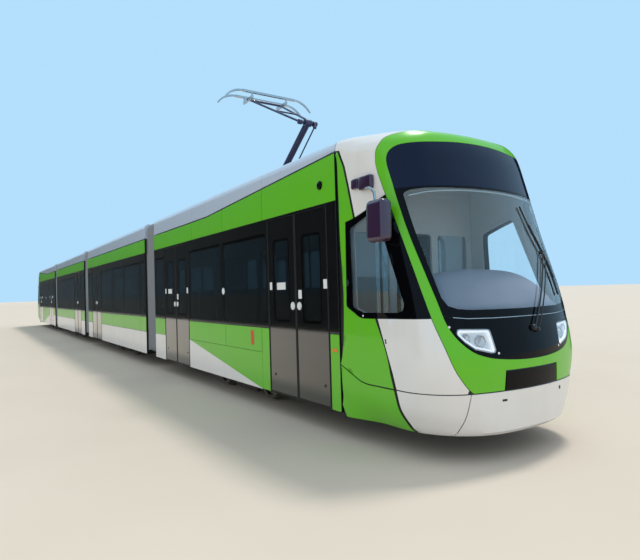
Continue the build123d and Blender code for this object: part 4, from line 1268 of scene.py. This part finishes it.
white_top_half = [(0.0, climb(roof_high))]
white_top_half += side_view([(seam, roof_high), (seam, 3.390)] + white_line)
white_top_half += side_view(white_front[::-1])[1:-1] + ring_line(window_top_z, ring_top)
white_corner = [from_front(0.850, ring_foot)] + ring_line(0.745, window_foot_z)
white_corner += side_view([
    (window_foot_x + 0.1, 1.429), (groove_bend_x, groove_bend_z), (groove_at(ring_foot), ring_foot),
])
window_loop = ring_line(window_foot_z, window_top_z) + side_view(window_top + window_rear)[1:]

# %% Outlines of the lower panels
foot_top = skirt_z - 0.004
groove_low, groove_end = groove_at(foot_top), groove_at(cab_low)
low_rise = [(x, z - 0.009) for x, z in rise]
green_foot = side_view(low_rise + [
    (groove_low - groove_width, foot_top), (groove_end - groove_width, cab_low), (16.480, cab_low),
    (seam, 0.400),
])

# Sideways reach of the bumper's slanted seam at its top and at its foot
seam_top, seam_foot, half_seam = 0.815, 0.872, 0.004
bumper_half = front_view([
    (0.0, foot_top), (seam_top - half_seam, foot_top), (seam_foot - half_seam, cab_low),
    (0.0, cab_low),
])
bumper_corner = front_view([(seam_foot + half_seam, cab_low), (seam_top + half_seam, foot_top)])
bumper_corner += side_view([(groove_low, foot_top), (groove_end, cab_low)])

groove_rear = [(groove_x - groove_width, 1.428), (groove_bend_x - groove_width, groove_bend_z)]
groove_rear.append((groove_end - groove_width, cab_low))
groove_front = [(x + groove_width, z) for x, z in groove_rear[::-1]]
groove_strip = side_view(groove_rear) + side_view(groove_front)

ring_half = ring_line(ring_top, ring_foot)
ring_half += front_view([(0.436, ring_foot), (0.422, 0.904), (0.0, 0.904)])
coupler_half = front_view([(0.0, 0.893), (0.412, 0.893), (0.426, ring_foot), (0.0, ring_foot)])
shield_chart = front_view(shield_half)


# %% Make the painted panels
def skins(
    name, material, charts, slot, gap=0.003, thickness=0.012, lift=0.0, replaced=(), bevel=0.0015
):
    """Curved sheets of the cab, on both cabs. Each chart is a list of outlines.

    The numbers are the gap round the rim, the thickness, the lift off the surface and the bevel.
    """
    parts = [sheet(loops, on_cab, thickness, gap, bevel, cell, lift) for loops in charts]
    return pair(name, material, parts, replaced)


def both(*charts):
    """Charts of the left side, and the same ones mirrored to the right."""
    return [list(c) for c in charts] + [[mirrored(loop) for loop in c] for c in charts]


skins("car_a_nose_ring", green, [[whole(ring_half), whole(shield_chart)]], "body_paint",
      replaced=["car_a_cab_shell", "car_a_cab_skirt"])
skins("car_a_coupler_cover", lamp_black, [[whole(coupler_half)]], "gloss_black", 0.0, bevel=0.006)
skins("car_a_cab_sides", green, both([green_side]), "body_paint")
skins("car_a_cab_feet", green, both([green_foot]), "body_paint")
skins("car_a_cab_top", white, [[whole(white_top_half)]], "body_paint")
skins("car_a_cab_corners", white, both([white_corner]), "body_paint")
skins("car_a_bumper", white, [[whole(bumper_half)]] + both([bumper_corner]), "body_paint", 0.0)
strips = both([groove_strip], [cap_strip])
skins("car_a_groove_strips", rubber, strips, "gloss_black", 0.0, 0.010, -0.001)

# %% [markdown]
# The curved panels end at the highest line of the nose. What is left is nearly flat, so one level
# sheet closes it.

# %% Roof cap of the cab
def level(height):
    """Placing function for a sheet that lies level at a height."""
    return lambda x, y, out: (x, y, height + out)


def right_round(reach, steps):
    """Even distances round the cab's plan, from one side to the other."""
    return [reach * (2 * i / steps - 1) for i in range(steps + 1)]


cap_reach = from_side(seam, roof_high)[0]
cap_plan = [cab_point(s, climbs[-1]) for s in right_round(cap_reach, 40)]
roof_cap = sheet([[(p.x, p.y) for p in cap_plan]], level(roof_high), 0.012, 0.002, 0.0015)
pair("car_a_roof_cap", roof_white_painted_sky, [roof_cap])

# %% [markdown]
# ## Glass of the cab
#
# The windscreen is one curved pane. Round its edge the real pane is printed black, which hides
# the glue and makes the window look larger than its clear part. The print is its own thin ring on
# the glass. Above the clear part the same surface carries a dark navy field, where the
# destination display sits. It stays blank.

# %% Windscreen, its printed border and the navy field
glass_line = between(shield_half, band_z, split_z)
windscreen_half = front_view(band_line + glass_line[:1])[:-1] + front_view(glass_line)
windscreen_half += front_view([glass_line[-1]] + foot_line[::-1])[1:]
windscreen_loop = whole(windscreen_half)
skins("car_a_windscreen", windscreen_glass, [[windscreen_loop]], "tinted_glass", 0.0, 0.008,
      replaced=["car_a_cab_glass"])
navy_half = [p for p in shield_half if p[1] > band_z + 0.002] + glass_line[:1]
navy_half = front_view(navy_half) + front_view(glass_line[:1] + band_line[::-1])[1:]
skins("car_a_navy_band", navy, [[whole(navy_half)]], "gloss_black", 0.0, 0.008)

clear_side = [(y - 0.045, z) for y, z in between(shield_half, 2.720, 1.640)]
clear_top = [(0.0, 2.800), (0.600, 2.792), (0.900, 2.779), (1.010, 2.765), (1.052, 2.745)]
clear_half = front_view(clear_top + clear_side)
clear_half += front_view([(0.950, 1.560), (0.860, 1.526), (0.700, 1.512), (0.0, 1.506)])
border_outer = inset(windscreen_loop, 0.001)
border_inner = whole(clear_half)
skins("car_a_windscreen_border", lamp_black, [[border_outer, border_inner]], "gloss_black", 0.0,
      0.003, 0.001, bevel=0.0004)

# %% Pale line above the clear glass, and a painted highlight below it
def line_across(upper, width):
    """Thin strip that runs right across the nose, below a line given for one half."""
    lower = [(y, z - width) for y, z in upper]
    return whole(front_view(upper) + front_view(lower[::-1]))


header_points = [(0.0, 2.788), (0.420, 2.783), (0.700, 2.768), (0.880, 2.748), (1.030, 2.716)]
header_line = line_across(header_points, 0.014)
skins("car_a_header_trim", pale_plastic, [[header_line]], "interior_plastic", 0.0, 0.004, -0.014)
# The bright strip below the glass is a painted highlight: it stands in for the glass's lower edge
# catching the light.
foot_highlight_line = line_across([(0.0, 1.428), (0.500, 1.428), (0.780, 1.434), (0.925, 1.450)], 0.007)
skins("car_a_windscreen_foot_trim", bright_metal, [[foot_highlight_line]], "gloss_black",
      0.0, 0.004, 0.0022, bevel=0.001)

# %% Side windows and their borders
window_outer = inset(window_loop, 0.003)
clear_corners = [
    (16.652, 2.440, 0.05), (16.880, 2.520, 0.3), (17.110, 2.590, 0.05), (17.560, 1.500, 0.08),
    (16.860, 1.488, 0.03), (16.672, 1.548, 0.04),
]
window_inner = side_view(rounded(clear_corners, 0.05, 6))
skins("car_a_cab_windows", windscreen_glass, both([window_outer]), "tinted_glass", 0.0, 0.008)
window_border = [inset(window_outer, 0.001), window_inner]
skins("car_a_window_borders", lamp_black, both(window_border), "gloss_black",
      0.0, 0.003, 0.001, bevel=0.0004)
print("clear side glass:", round(abs(signed_area(window_inner)), 2), "square metres")

# %% Lamp panel
lamp_corners = [
    (0.556, 1.320), (0.902, 1.336), (0.926, 1.286), (0.856, 1.204), (0.760, 1.132), (0.516, 1.070),
]
lamp_chart = [from_front(y, z) for y, z in rounded(lamp_corners, 0.036, 6)]
panel_top = [(y, z - 0.005) for y, z in foot_line]
panel_line = [(reach_at(shield_half, split_z - 0.005), split_z - 0.005)]
panel_line += [p for p in shield_half if p[1] < split_z - 0.007]
panel_half = front_view(panel_top + panel_line[:1])[:-1] + front_view(panel_line)
skins("car_a_lamp_panel_skin", lamp_black, [[whole(panel_half), lamp_chart, mirrored(lamp_chart)]],
      "gloss_black", replaced=["car_a_lamp_panel"])

# %% [markdown]
# ## Headlamps
#
# Behind a clear cover each lamp is a bowl with two round projectors, and a white light guide
# follows the cover's edge. The bowl's brightness is a painted glow in its material. A lamp that
# is only painted on looks flat, so the bowl has a real depth.


# %% Turned shapes
def turned(profile, centre, axis, segments=28):
    """Closed solid of revolution. The profile gives radius and height, from axis to axis."""
    axis = Vector(axis).normalized()
    side = axis.orthogonal().normalized()
    other = axis.cross(side)
    centre = Vector(centre)
    vertices, rings = [], []
    for radius, height in profile:
        if radius < 1e-6:
            rings.append([len(vertices)])
            vertices.append(centre + axis * height)
            continue
        rings.append(list(range(len(vertices), len(vertices) + segments)))
        for i in range(segments):
            turn = 2 * pi * i / segments
            outwards = side * cos(turn) + other * sin(turn)
            vertices.append(centre + axis * height + outwards * radius)
    faces = []
    for first, second in zip(rings, rings[1:]):
        for i in range(segments):
            a, b = first[i % len(first)], first[(i + 1) % len(first)]
            c, d = second[(i + 1) % len(second)], second[i % len(second)]
            faces.append(tuple(dict.fromkeys((a, b, c, d))))
    return vertices, faces


def left_and_right(part):
    """A part, and its mirror image on the other side of the tram."""
    vertices, faces = part
    return [part, ([(x, -y, z) for x, y, z in vertices], [face[::-1] for face in faces])]


# %% Lamps
lamp_loop = anticlockwise(lamp_chart)


def lamp_rings(name, material, outer, inner, lift, thickness, slot="lamp_lens", **more):
    """Ring along the lamp's outline between two insets, or a full sheet without an inner one."""
    loops = [inset(lamp_loop, outer)] + ([inset(lamp_loop, inner)] if inner else [])
    return skins(name, material, both(loops), slot, 0.0, thickness, lift, bevel=0.0008, **more)


# Outer and inner inset, lift and thickness
lamp_rings("car_a_lamp_bezels", bright_metal, 0.002, 0.010, 0.0, 0.012,
           replaced=["car_a_headlamps"])
# Bowls and backs carry the painted glow of the lamp bowl material.
lamp_rings("car_a_lamp_bowls", lamp_bowl_painted_glow, 0.0105, 0.014, -0.006, 0.032, "gloss_black")
lamp_rings("car_a_lamp_backs", lamp_bowl_painted_glow, 0.0, None, -0.038, 0.004, "gloss_black")
lamp_rings("car_a_lamp_guides", led_white, 0.014, 0.031, -0.012, 0.012)
lamp_rings("car_a_lamp_covers", lamp_glass, 0.0105, None, -0.002, 0.003)

# %% Projectors, which look half along the tram
def sized(profile, size):
    """Profile with its radii scaled, and its heights kept."""
    return [(radius * size, height) for radius, height in profile]


barrels, lenses = [], []
barrel_profile = [
    (0.0, -0.014), (0.060, -0.014), (0.060, -0.004), (0.055, 0.0), (0.049, -0.004), (0.047, -0.012),
    (0.0, -0.012),
]
lens_profile = [
    (0.0, -0.011), (0.046, -0.011), (0.045, -0.008), (0.038, 0.002), (0.026, 0.009),
    (0.012, 0.0125), (0.0, 0.0135),
]
for y, z, size in ((0.668, 1.206, 1.12), (0.822, 1.238, 0.92)):
    spot = from_front(y, z)
    centre = on_cab(*spot, -0.027)
    outwards = on_cab(*spot, 1.0) - on_cab(*spot, 0.0)
    for profile, kept in ((barrel_profile, barrels), (lens_profile, lenses)):
        kept += left_and_right(turned(sized(profile, size), centre, outwards + Vector((1, 0, 0))))
pair("car_a_projectors", bright_metal, barrels)
pair("car_a_projector_lenses", lamp_glass, lenses)

# %% [markdown]
# ## Behind the panels
#
# The panels sit on a black backing that shows in the joints, and a pale lining faces the driver.
# Without the lining, the windscreen would show the backs of the outer panels.

# %% Backing and lining
back_half = [(0.0, climb(roof_high))] + side_view([(seam, roof_high), (seam, cab_low)])
back_half.append((0.0, 0.0))
clear_windscreen = inset(border_inner, -0.012)
clear_window = inset(window_inner, -0.012)
holes = [clear_windscreen, clear_window, mirrored(clear_window)]
lamp_hole = inset(lamp_loop, -0.006)
backing = [whole(back_half)] + holes + [lamp_hole, mirrored(lamp_hole)]
skins("car_a_cab_backing", satin_black, [backing], "gloss_black", 0.004, 0.003, -0.0125)
lining = [whole(back_half)] + holes
skins("car_a_cab_lining", pale_plastic, [lining], "interior_plastic", 0.006, 0.006, -0.084)

# %% [markdown]
# ## Inside the cab
#
# Through the windscreen one sees a pale wall behind the driver, with a doorway and two panes, and
# in front of the driver the hood of the dashboard. They are dim behind the glass, but an empty
# cab looks like a toy. The wall is one sheet with holes. The hood is a row of cross sections,
# each the same number of points, joined to its neighbour by four-sided faces.

# %% Wall behind the driver
def upright(place_x):
    """Placing function for a wall that stands across the tram."""
    return lambda y, z, out: (place_x + out, y, z)


wall_levels = [skirt_z + 0.004, 1.0, 1.5, 2.0, 2.4, 2.8, 3.1, 3.3, 3.4, 3.47, 3.51]
wall_side = [(section(z)[0] - 0.095, z) for z in wall_levels]
wall_loop = wall_side + mirrored(wall_side[::-1])
doorway = rounded(rectangle(-0.32, 0.32, skirt_z + 0.02, 2.45), 0.06)
partition = rounded(rectangle(0.44, 0.98, 1.20, 2.44), 0.05)
panes = [partition, mirrored(partition)]
bulkhead = sheet([wall_loop, doorway] + panes, upright(seam_x + 0.04), 0.03, 0.0, 0.002)
partition_glass = [sheet([inset(pane, 0.002)], upright(seam_x + 0.052), 0.006) for pane in panes]
pair("car_a_cab_bulkhead", pale_plastic, [bulkhead])

# %% Cab floor and the closing plate below it
plates = []
for z, clearance in ((skirt_z, 0.092), (cab_low + 0.035, 0.035)):
    reach = from_side(seam + 0.002, z)[0]
    plan = [on_cab(s, climb(z), -clearance) for s in right_round(reach, 60)]
    plates.append(sheet([[(p.x, p.y) for p in plan]], level(z), 0.012, 0.0, 0.001))
pair("car_a_cab_floors", satin_black, plates)
pair("car_a_cab_partition_glass", windscreen_glass, partition_glass)

# %% Dashboard under the windscreen
desk_z, hood_foot = 1.325, 1.500
hood_rear, hood_crest, shallowest = 17.250, 17.520, 0.15
hood_steps = 12
hood_line = curve_through([
    (-0.970, 1.560), (-0.900, 1.740), (-0.780, 1.860), (-0.560, 1.905), (-0.300, 1.930),
    (0.050, 1.930), (0.450, 1.900), (0.740, 1.815), (0.880, 1.720), (0.970, 1.560),
])


def behind_glass(y, z):
    """Place along the tram a hand's width behind the windscreen."""
    return on_cab(*from_front(y, z), -0.10).x


hood_rows = []
for y, top in hood_line:
    crest = min(hood_crest, behind_glass(y, top))
    foot = behind_glass(y, hood_foot)
    rear = min(hood_rear, crest - shallowest)
    row = [(rear, desk_z), (rear + 0.010, top - 0.120), (rear + 0.035, top - 0.045)]
    row.append((rear + 0.080, top - 0.010))
    for step in range(hood_steps + 1):
        along = step / hood_steps
        z = top - (top - hood_foot) * along ** 2
        row.append((min(crest + (foot - crest) * along, behind_glass(y, z)), z))
    row.append((foot, desk_z))
    hood_rows.append([(x, y, z) for x, z in row])
vertices = [point for row in hood_rows for point in row]
faces = ring_faces(len(hood_rows), len(hood_rows[0]), flip=True)
pair("car_a_dashboard", dashboard_mauve, [(vertices, faces)])
print("pieces so far:", len(made), "faces:", sum(made.values()))

# %% [markdown]
# ## Mirrors
#
# Each cab has one mirror, on its right. A soft-cornered housing hangs from a bent pipe, which
# grows from two small blocks above the side window. The pipe is a circle carried along a rounded
# path, and the housing and blocks are pads whose rims are rounded on both faces, as moulded
# plastic is.


# %% Pipes and cushions
def pipe(points, radius, segments=12):
    """Closed round pipe along a path."""
    points = [Vector(p) for p in points]
    vertices, count = [], len(points)
    side = None
    for index, point in enumerate(points):
        ahead = points[min(index + 1, count - 1)] - points[max(index - 1, 0)]
        ahead.normalize()
        side = ahead.orthogonal() if side is None else side - ahead * side.dot(ahead)
        side.normalize()
        other = ahead.cross(side)
        for i in range(segments):
            turn = 2 * pi * i / segments
            vertices.append(point + (side * cos(turn) + other * sin(turn)) * radius)
    return vertices, ring_faces(count, segments)


def cushion(loop, place, thickness, radius, steps=4):
    """Solid pad with both of its rims rounded. place(u, v, out) gives the point in space."""
    loop = anticlockwise(loop)
    rows = []
    for step in range(steps + 1):
        angle = pi / 2 * step / steps
        rows.append((radius * (1 - sin(angle)), thickness - radius * (1 - cos(angle))))
    rows += [(inwards, thickness - height) for inwards, height in rows[::-1]]
    vertices = []
    for inwards, height in rows:
        vertices += [place(u, v, height) for u, v in shifted(loop, inwards)]
    return vertices, ring_faces(len(rows), len(loop), flip=True)


# %% Mirror housings and their glass
def on_right(part):
    """A part's mirror image on the right side only, where the driver's mirror hangs."""
    return left_and_right(part)[1:]


mirror_rear, mirror_front, mirror_y = 17.165, 17.440, 1.305
mirror_foot, mirror_head = 2.225, 2.665
housing_outline = rounded(rectangle(-0.079, 0.079, mirror_foot, mirror_head), 0.055, 6)
housing = cushion(
    housing_outline, lambda y, z, out: (mirror_rear + out, mirror_y + y, z),
    mirror_front - mirror_rear, 0.055, 6,
)
pair("car_a_mirror_housings", mirror_plum, on_right(housing), ["car_a_mirrors"])
rim = 0.035
mirror_outline = rounded(rectangle(-0.055, 0.055, mirror_foot + rim, mirror_head - rim), rim, 6)
glass_rear = mirror_rear - 0.0015
glass_plate = sheet([mirror_outline], lambda y, z, out: (glass_rear - out, mirror_y - y, z), 0.003)
pair("car_a_mirror_glass", bright_metal, on_right(glass_plate))

# %% Mirror arms and blocks
bend = [
    (16.98, side_y + 0.020, 2.850), (17.04, side_y + 0.045, 2.838), (17.12, side_y + 0.075, 2.826),
    (17.19, side_y + 0.100, 2.795), (17.24, mirror_y, 2.740), (17.25, mirror_y, 2.640),
]
mirror_arm = pipe(curve_through(bend, 6), 0.014)
pair("car_a_mirror_arms", bright_metal, on_right(mirror_arm))
block_foot = side_y - 0.012
# Middle and half length along the tram, middle and half height, thickness
block_sizes = [(16.800, 0.060, 2.925, 0.058, 0.045), (17.000, 0.105, 2.905, 0.075, 0.060)]
blocks = []
for x, half_x, z, half_z, height in block_sizes:
    outline = rounded(rectangle(x - half_x, x + half_x, z - half_z, z + half_z), 0.022, 4)
    block = cushion(outline, lambda x, z, out: (x, block_foot + out, z), height, 0.014, 3)
    blocks += on_right(block)
pair("car_a_mirror_blocks", mirror_plum, blocks)

# %% [markdown]
# ## Wiper and small fittings of the nose
#
# Two thin parallel arms carry the wiper blade, which parks along the edge of the glass. The blade
# is a rubber strip in a slim holder, and at this size a thin round pipe is enough for each.
# Screws, sensors and a small camera are turned shapes, each set square on the surface it sits on.


# %% Wiper
def along_glass(points, out):
    """Path in space over the nose, from places seen from the front."""
    return [on_cab(*from_front(y, z), out) for y, z in open_divided(points, 0.08)]


def square_on(chart_point, out, profile, segments):
    """Turned shape that stands square on the cab, its foot raised by a distance."""
    foot = on_cab(*chart_point, out)
    return turned(profile, foot, on_cab(*chart_point, 1.0) - foot, segments)


wiper_base, second_base, wiper_knuckle = (0.045, 1.300), (0.100, 1.275), (0.665, 2.110)
blade_line = curve_through([
    (0.440, 2.640), (0.545, 2.350), wiper_knuckle, (0.735, 1.870), (0.770, 1.620),
])
wiper_parts = [
    pipe(along_glass([wiper_base, wiper_knuckle], 0.030), 0.009),
    pipe(along_glass([second_base, (0.690, 2.045)], 0.030), 0.007),
    pipe(along_glass(blade_line, 0.018), 0.010),
    pipe(along_glass(blade_line[3:-3], 0.030), 0.007),
]
knob_profile = [(0.0, 0.0), (0.034, 0.0), (0.034, 0.022), (0.024, 0.038), (0.0, 0.042)]
for place, size in ((wiper_base, 1.0), (second_base, 0.7), (wiper_knuckle, 0.6)):
    wiper_parts.append(square_on(from_front(*place), 0.0, sized(knob_profile, size), 20))
pair("car_a_wiper_arms", satin_black, wiper_parts, ["car_a_wiper"])


# %% Buttons set square on the cab
def cab_button(chart_point, radius, height):
    """Low turned button, sunk a little into the panel so that no gap shows below it."""
    profile = [(0.0, 0.0), (radius, 0.0), (radius, height * 0.6), (radius * 0.75, height)]
    return square_on(chart_point, -0.001, profile + [(0.0, height)], 16)


pale_spots = [from_front(0.978, 1.356), from_front(0.500, 1.080), from_side(16.857, 1.452)]
dark_spots = [from_side(17.222, 1.205), from_side(17.228, 1.180)]
button_sets = (("screws", label_white, pale_spots), ("hinges", satin_black, dark_spots))
for name, material, spots in button_sets:
    buttons = [part for spot in spots for part in left_and_right(cab_button(spot, 0.012, 0.005))]
    pair(f"car_a_nose_{name}", material, buttons)

# %% Fittings of the bumper and the side cameras
sensor = cab_button(from_front(0.507, 0.625), 0.020, 0.005)
pair("car_a_bumper_sensor", satin_black, [sensor])
slot_corners = rounded(rectangle(-0.465, -0.400, 0.600, 0.624), 0.011, 4)
slot_outline = [from_front(y, z) for y, z in slot_corners]
skins("car_a_bumper_slot", satin_black, [[slot_outline]], "gloss_black", 0.0, 0.004, 0.001)
dome_profile = [
    (0.0, 0.0), (0.055, 0.0), (0.055, 0.008), (0.044, 0.012), (0.038, 0.022), (0.022, 0.033),
    (0.0, 0.037),
]
dome = turned(dome_profile, (16.070, side_y + panel_thickness, 3.045), (0, 1, 0))
pair("car_a_side_cameras", lamp_black, left_and_right(dome))

# %% [markdown]
# ## Pleated gangways
#
# Between two cars hangs a bellows of coated cloth. Its walls run in and out in even pleats, so
# the mesh is a rounded frame repeated along the gap, wider and narrower in turn.

# %% Bellows
pleats = 8
pleat_depth = 0.055
cloth = 0.012


def bellows(rear, front):
    """Closed pleated tube between two cars."""
    per_pleat = 8
    steps = pleats * per_pleat
    outer_y, cloth_top = bellows_high.y, 3.535
    rows = []
    for i in range(steps + 1):
        x = rear + (front - rear) * i / steps
        fold = pleat_depth * (0.5 - 0.5 * cos(2 * pi * i / per_pleat + pi)) ** 1.4
        rows.append((x, fold))
    rows += [(x, fold + cloth) for x, fold in rows[::-1]]
    vertices = []
    for x, fold in rows:
        half_wide, foot, top = outer_y - fold, bellows_low.z + fold, cloth_top - fold
        frame_outline = rectangle(-half_wide, half_wide, foot, top)
        vertices += [(x, y, z) for y, z in rounded(frame_outline, 0.17 - fold / 2, 8)]
    return vertices, ring_faces(len(rows), len(vertices) // len(rows), closed=True)


def hang_bellows(node):
    """Cloth across one gap, in place of the frame's plain tube."""
    low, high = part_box(node)
    thing = dressed(f"{node}_cloth", *bellows(low.x, high.x), pleat_cloth, radians(50))
    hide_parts(node)
    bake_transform(thing)


hang_bellows("bellows_ab")
hang_bellows("bellows_bc")
hang_bellows("bellows_cd")

# %% [markdown]
# ## Finishes for the frame's own pieces
#
# Doors, windows, roof units, bogies, wheels, seats and the pantograph stay as the frame gives
# them and only take a finish. The body shell needs three looks in one piece: black where joints
# open, a pale lining inside, and grey on the roof deck. Its material picks one by position.

# %% Shell of the cars
def by_place(name, inner, outer, deck):
    """Shell finish: deck colour on top, lining inside, black outside."""
    lining_half, floor_z, deck_z = 1.152, 0.40, 2.80
    material, tree, shader = new_material(name, {})
    place = tree.nodes.new("ShaderNodeTexCoord")
    split = tree.nodes.new("ShaderNodeSeparateXYZ")
    wire(tree, place, "Object", split, 0)
    sideways = maths(tree, "ABSOLUTE", split.outputs["Y"])
    within = maths(tree, "LESS_THAN", sideways, lining_half)
    above_floor = maths(tree, "GREATER_THAN", split.outputs["Z"], floor_z)
    on_top = maths(tree, "GREATER_THAN", split.outputs["Z"], deck_z)
    lining = maths(tree, "MULTIPLY", within, above_floor)
    streaks = place_group(tree, "streaks", scale=5.0, strength=0.5).outputs["Mask"]
    dirty = mix_colour(tree, streaks, deck, dust_colour)
    colour = mix_colour(tree, lining, outer, inner)
    colour = mix_colour(tree, maths(tree, "MULTIPLY", on_top, within), colour, dirty)
    tree.links.new(colour, shader.inputs["Base Color"])
    tree.links.new(mix_value(tree, streaks, 0.45, 0.8), shader.inputs["Roughness"])
    return material


# %% A finish for every piece that stays
shell_colours = chart(178, 178, 174), chart(10, 10, 11), chart(128, 130, 130)
finishes = {
    "shell": by_place("shell by place", *shell_colours),
    "roof_fairings": roof_white_painted_sky,
    "roof_units": unit_grey,
    "glazing": tinted_glass,
    "doors": gloss_black,
    "interior": seat_cloth,
    "cab_interior": desk_plastic,
    "bogie_frame": bogie_dust,
    "front_wheelset": tyre_steel,
    "rear_wheelset": tyre_steel,
}
cars = ("car_a", "car_b", "car_c", "car_d")
looks = {f"{car}_{part}": finish for car in cars for part, finish in finishes.items()}
for part in ("base", "lower_arm", "link", "upper_arm"):
    looks[f"pantograph_{part}"] = pantograph_blue
looks["pantograph_head"] = bright_metal
finished = [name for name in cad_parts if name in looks]
for name in finished:
    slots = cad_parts[name].data.materials
    slots.clear()
    slots.append(looks[name])
print("nodes with a finish:", len(finished))

# %% [markdown]
# ## Studio
#
# A wide pale floor, a pale world and one soft sun. Dark flags stand far out to the sides. They
# are hidden from the camera and from soft light, and only show in reflections, so the black glass
# of the sides stays dark instead of mirroring the pale world.

# %% Floor
def staged(name, corners, material):
    """Flat part of the studio, which isn't part of the tram."""
    mesh = bpy.data.meshes.new(name)
    mesh.from_pydata(corners, [], [tuple(range(len(corners)))])
    mesh.materials.append(material)
    thing = new_object(name, mesh)
    return thing


floor_finish = grained("studio floor", (207, 193, 176), (214, 201, 185), 0.6, (0.8, 0.95), 0.0)
far = 400.0
floor_corners = [(x, y, 0) for x, y in rectangle(-far, far, -far, far)]
staged("studio_floor", floor_corners, floor_finish)

# %% Dark flags
flag_finish = grained("flag cloth", (20, 23, 24), (34, 38, 36), 0.2, (0.9, 1.0), 0.0)
flag_y, flag_foot, flag_top, flag_rear, flag_front = 9.2, 0.1, 8.5, -200.0, 17.0
for side, y in (("right", -flag_y), ("left", flag_y)):
    corners = [(x, y, z) for x, z in rectangle(flag_rear, flag_front, flag_foot, flag_top)]
    flag = staged(f"studio_flag_{side}", corners, flag_finish)
    flag.visible_camera = False
    flag.visible_diffuse = False
    flag.visible_shadow = False
    flag.visible_transmission = False

# %% [markdown]
# ## World and sun
#
# An overcast sky lights a tram evenly from above, so the world gives most of the light and the
# sun only a soft one from high on the left. Rays that see the sky, directly, through glass or
# mirrored in a panel, meet a deeper blue than the one that lights the body. That gives the
# windscreen its cool tone. The roof's cool tone comes partly from it and partly from a painted
# sky reflection: its white paint is tinted blue-grey.

# %% World and sun
def background(node, colour, strength):
    """Background node with its colour and strength set."""
    node.inputs["Color"].default_value = colour
    node.inputs["Strength"].default_value = strength
    return node


world = bpy.data.worlds.new("studio world")
bpy.context.scene.world = world
world.use_nodes = True
sky = world.node_tree
pale = background(sky.nodes["Background"], (0.79, 0.90, 1.0, 1.0), 0.95)
seen = background(sky.nodes.new("ShaderNodeBackground"), (0.46, 0.74, 0.98, 1.0), 1.0)
path = sky.nodes.new("ShaderNodeLightPath")
choice = sky.nodes.new("ShaderNodeMixShader")
rays = [path.outputs[f"Is {kind} Ray"] for kind in ("Camera", "Transmission", "Glossy")]
seen_rays = maths(sky, "MAXIMUM", maths(sky, "MAXIMUM", *rays[:2]), rays[2])
sky.links.new(seen_rays, choice.inputs[0])
wire(sky, pale, 0, choice, 1)
wire(sky, seen, 0, choice, 2)
wire(sky, choice, 0, sky.nodes["World Output"], "Surface")

sun = bpy.data.lights.new("soft sun", "SUN")
sun.energy = 1.7
sun.angle = radians(9)
sun.color = (1.0, 0.97, 0.92)
sun_holder = new_object("soft_sun", sun)
sun_from = Vector((-0.49, 1.42, 3.40))
sun_holder.rotation_mode = "QUATERNION"
sun_holder.rotation_quaternion = sun_from.to_track_quat("Z", "Y")
print("sun", round(sun_from.z / sun_from.length, 2), "of the way up")

# %% [markdown]
# ## Camera
#
# The camera stands where a photographer would: at eye height beside the track, a few steps ahead
# of the nose. Its place, its turn and the focal length in pixels were worked out from straight
# edges of the tram whose real lengths are known. A wide lens that close makes the nose loom and
# the rear cars shrink, which is most of what makes the picture look real.

# %% Camera where the photographer stood
camera_place = Vector((21.473, -4.809, 1.744))
yaw, pitch, roll = radians(146.539), radians(1.165), radians(-1.649)
focal_pixels, picture_pixels = 527.385, 640
ahead = Vector((cos(yaw) * cos(pitch), sin(yaw) * cos(pitch), sin(pitch)))
right = ahead.cross(Vector((0, 0, 1))).normalized()
up = right.cross(ahead)
turned_right = right * cos(roll) + up * sin(roll)
turned_up = up * cos(roll) - right * sin(roll)
lens = bpy.data.cameras.new("camera")
lens.sensor_width = 36.0
lens.lens = focal_pixels / picture_pixels * lens.sensor_width
lens.clip_end = 500.0
camera = new_object("camera", lens)
axes = Matrix((turned_right, turned_up, -ahead)).transposed().to_4x4()
camera.matrix_world = Matrix.Translation(camera_place) @ axes
bpy.context.scene.camera = camera
bpy.context.scene.view_settings.view_transform = "Standard"
print("focal length:", round(lens.lens, 1), "mm")

# %% [markdown]
# ## Faces made
#
# The last cell counts the faces of the pieces that this lesson made.

# %% Faces made
print("faces made:", sum(made.values()))
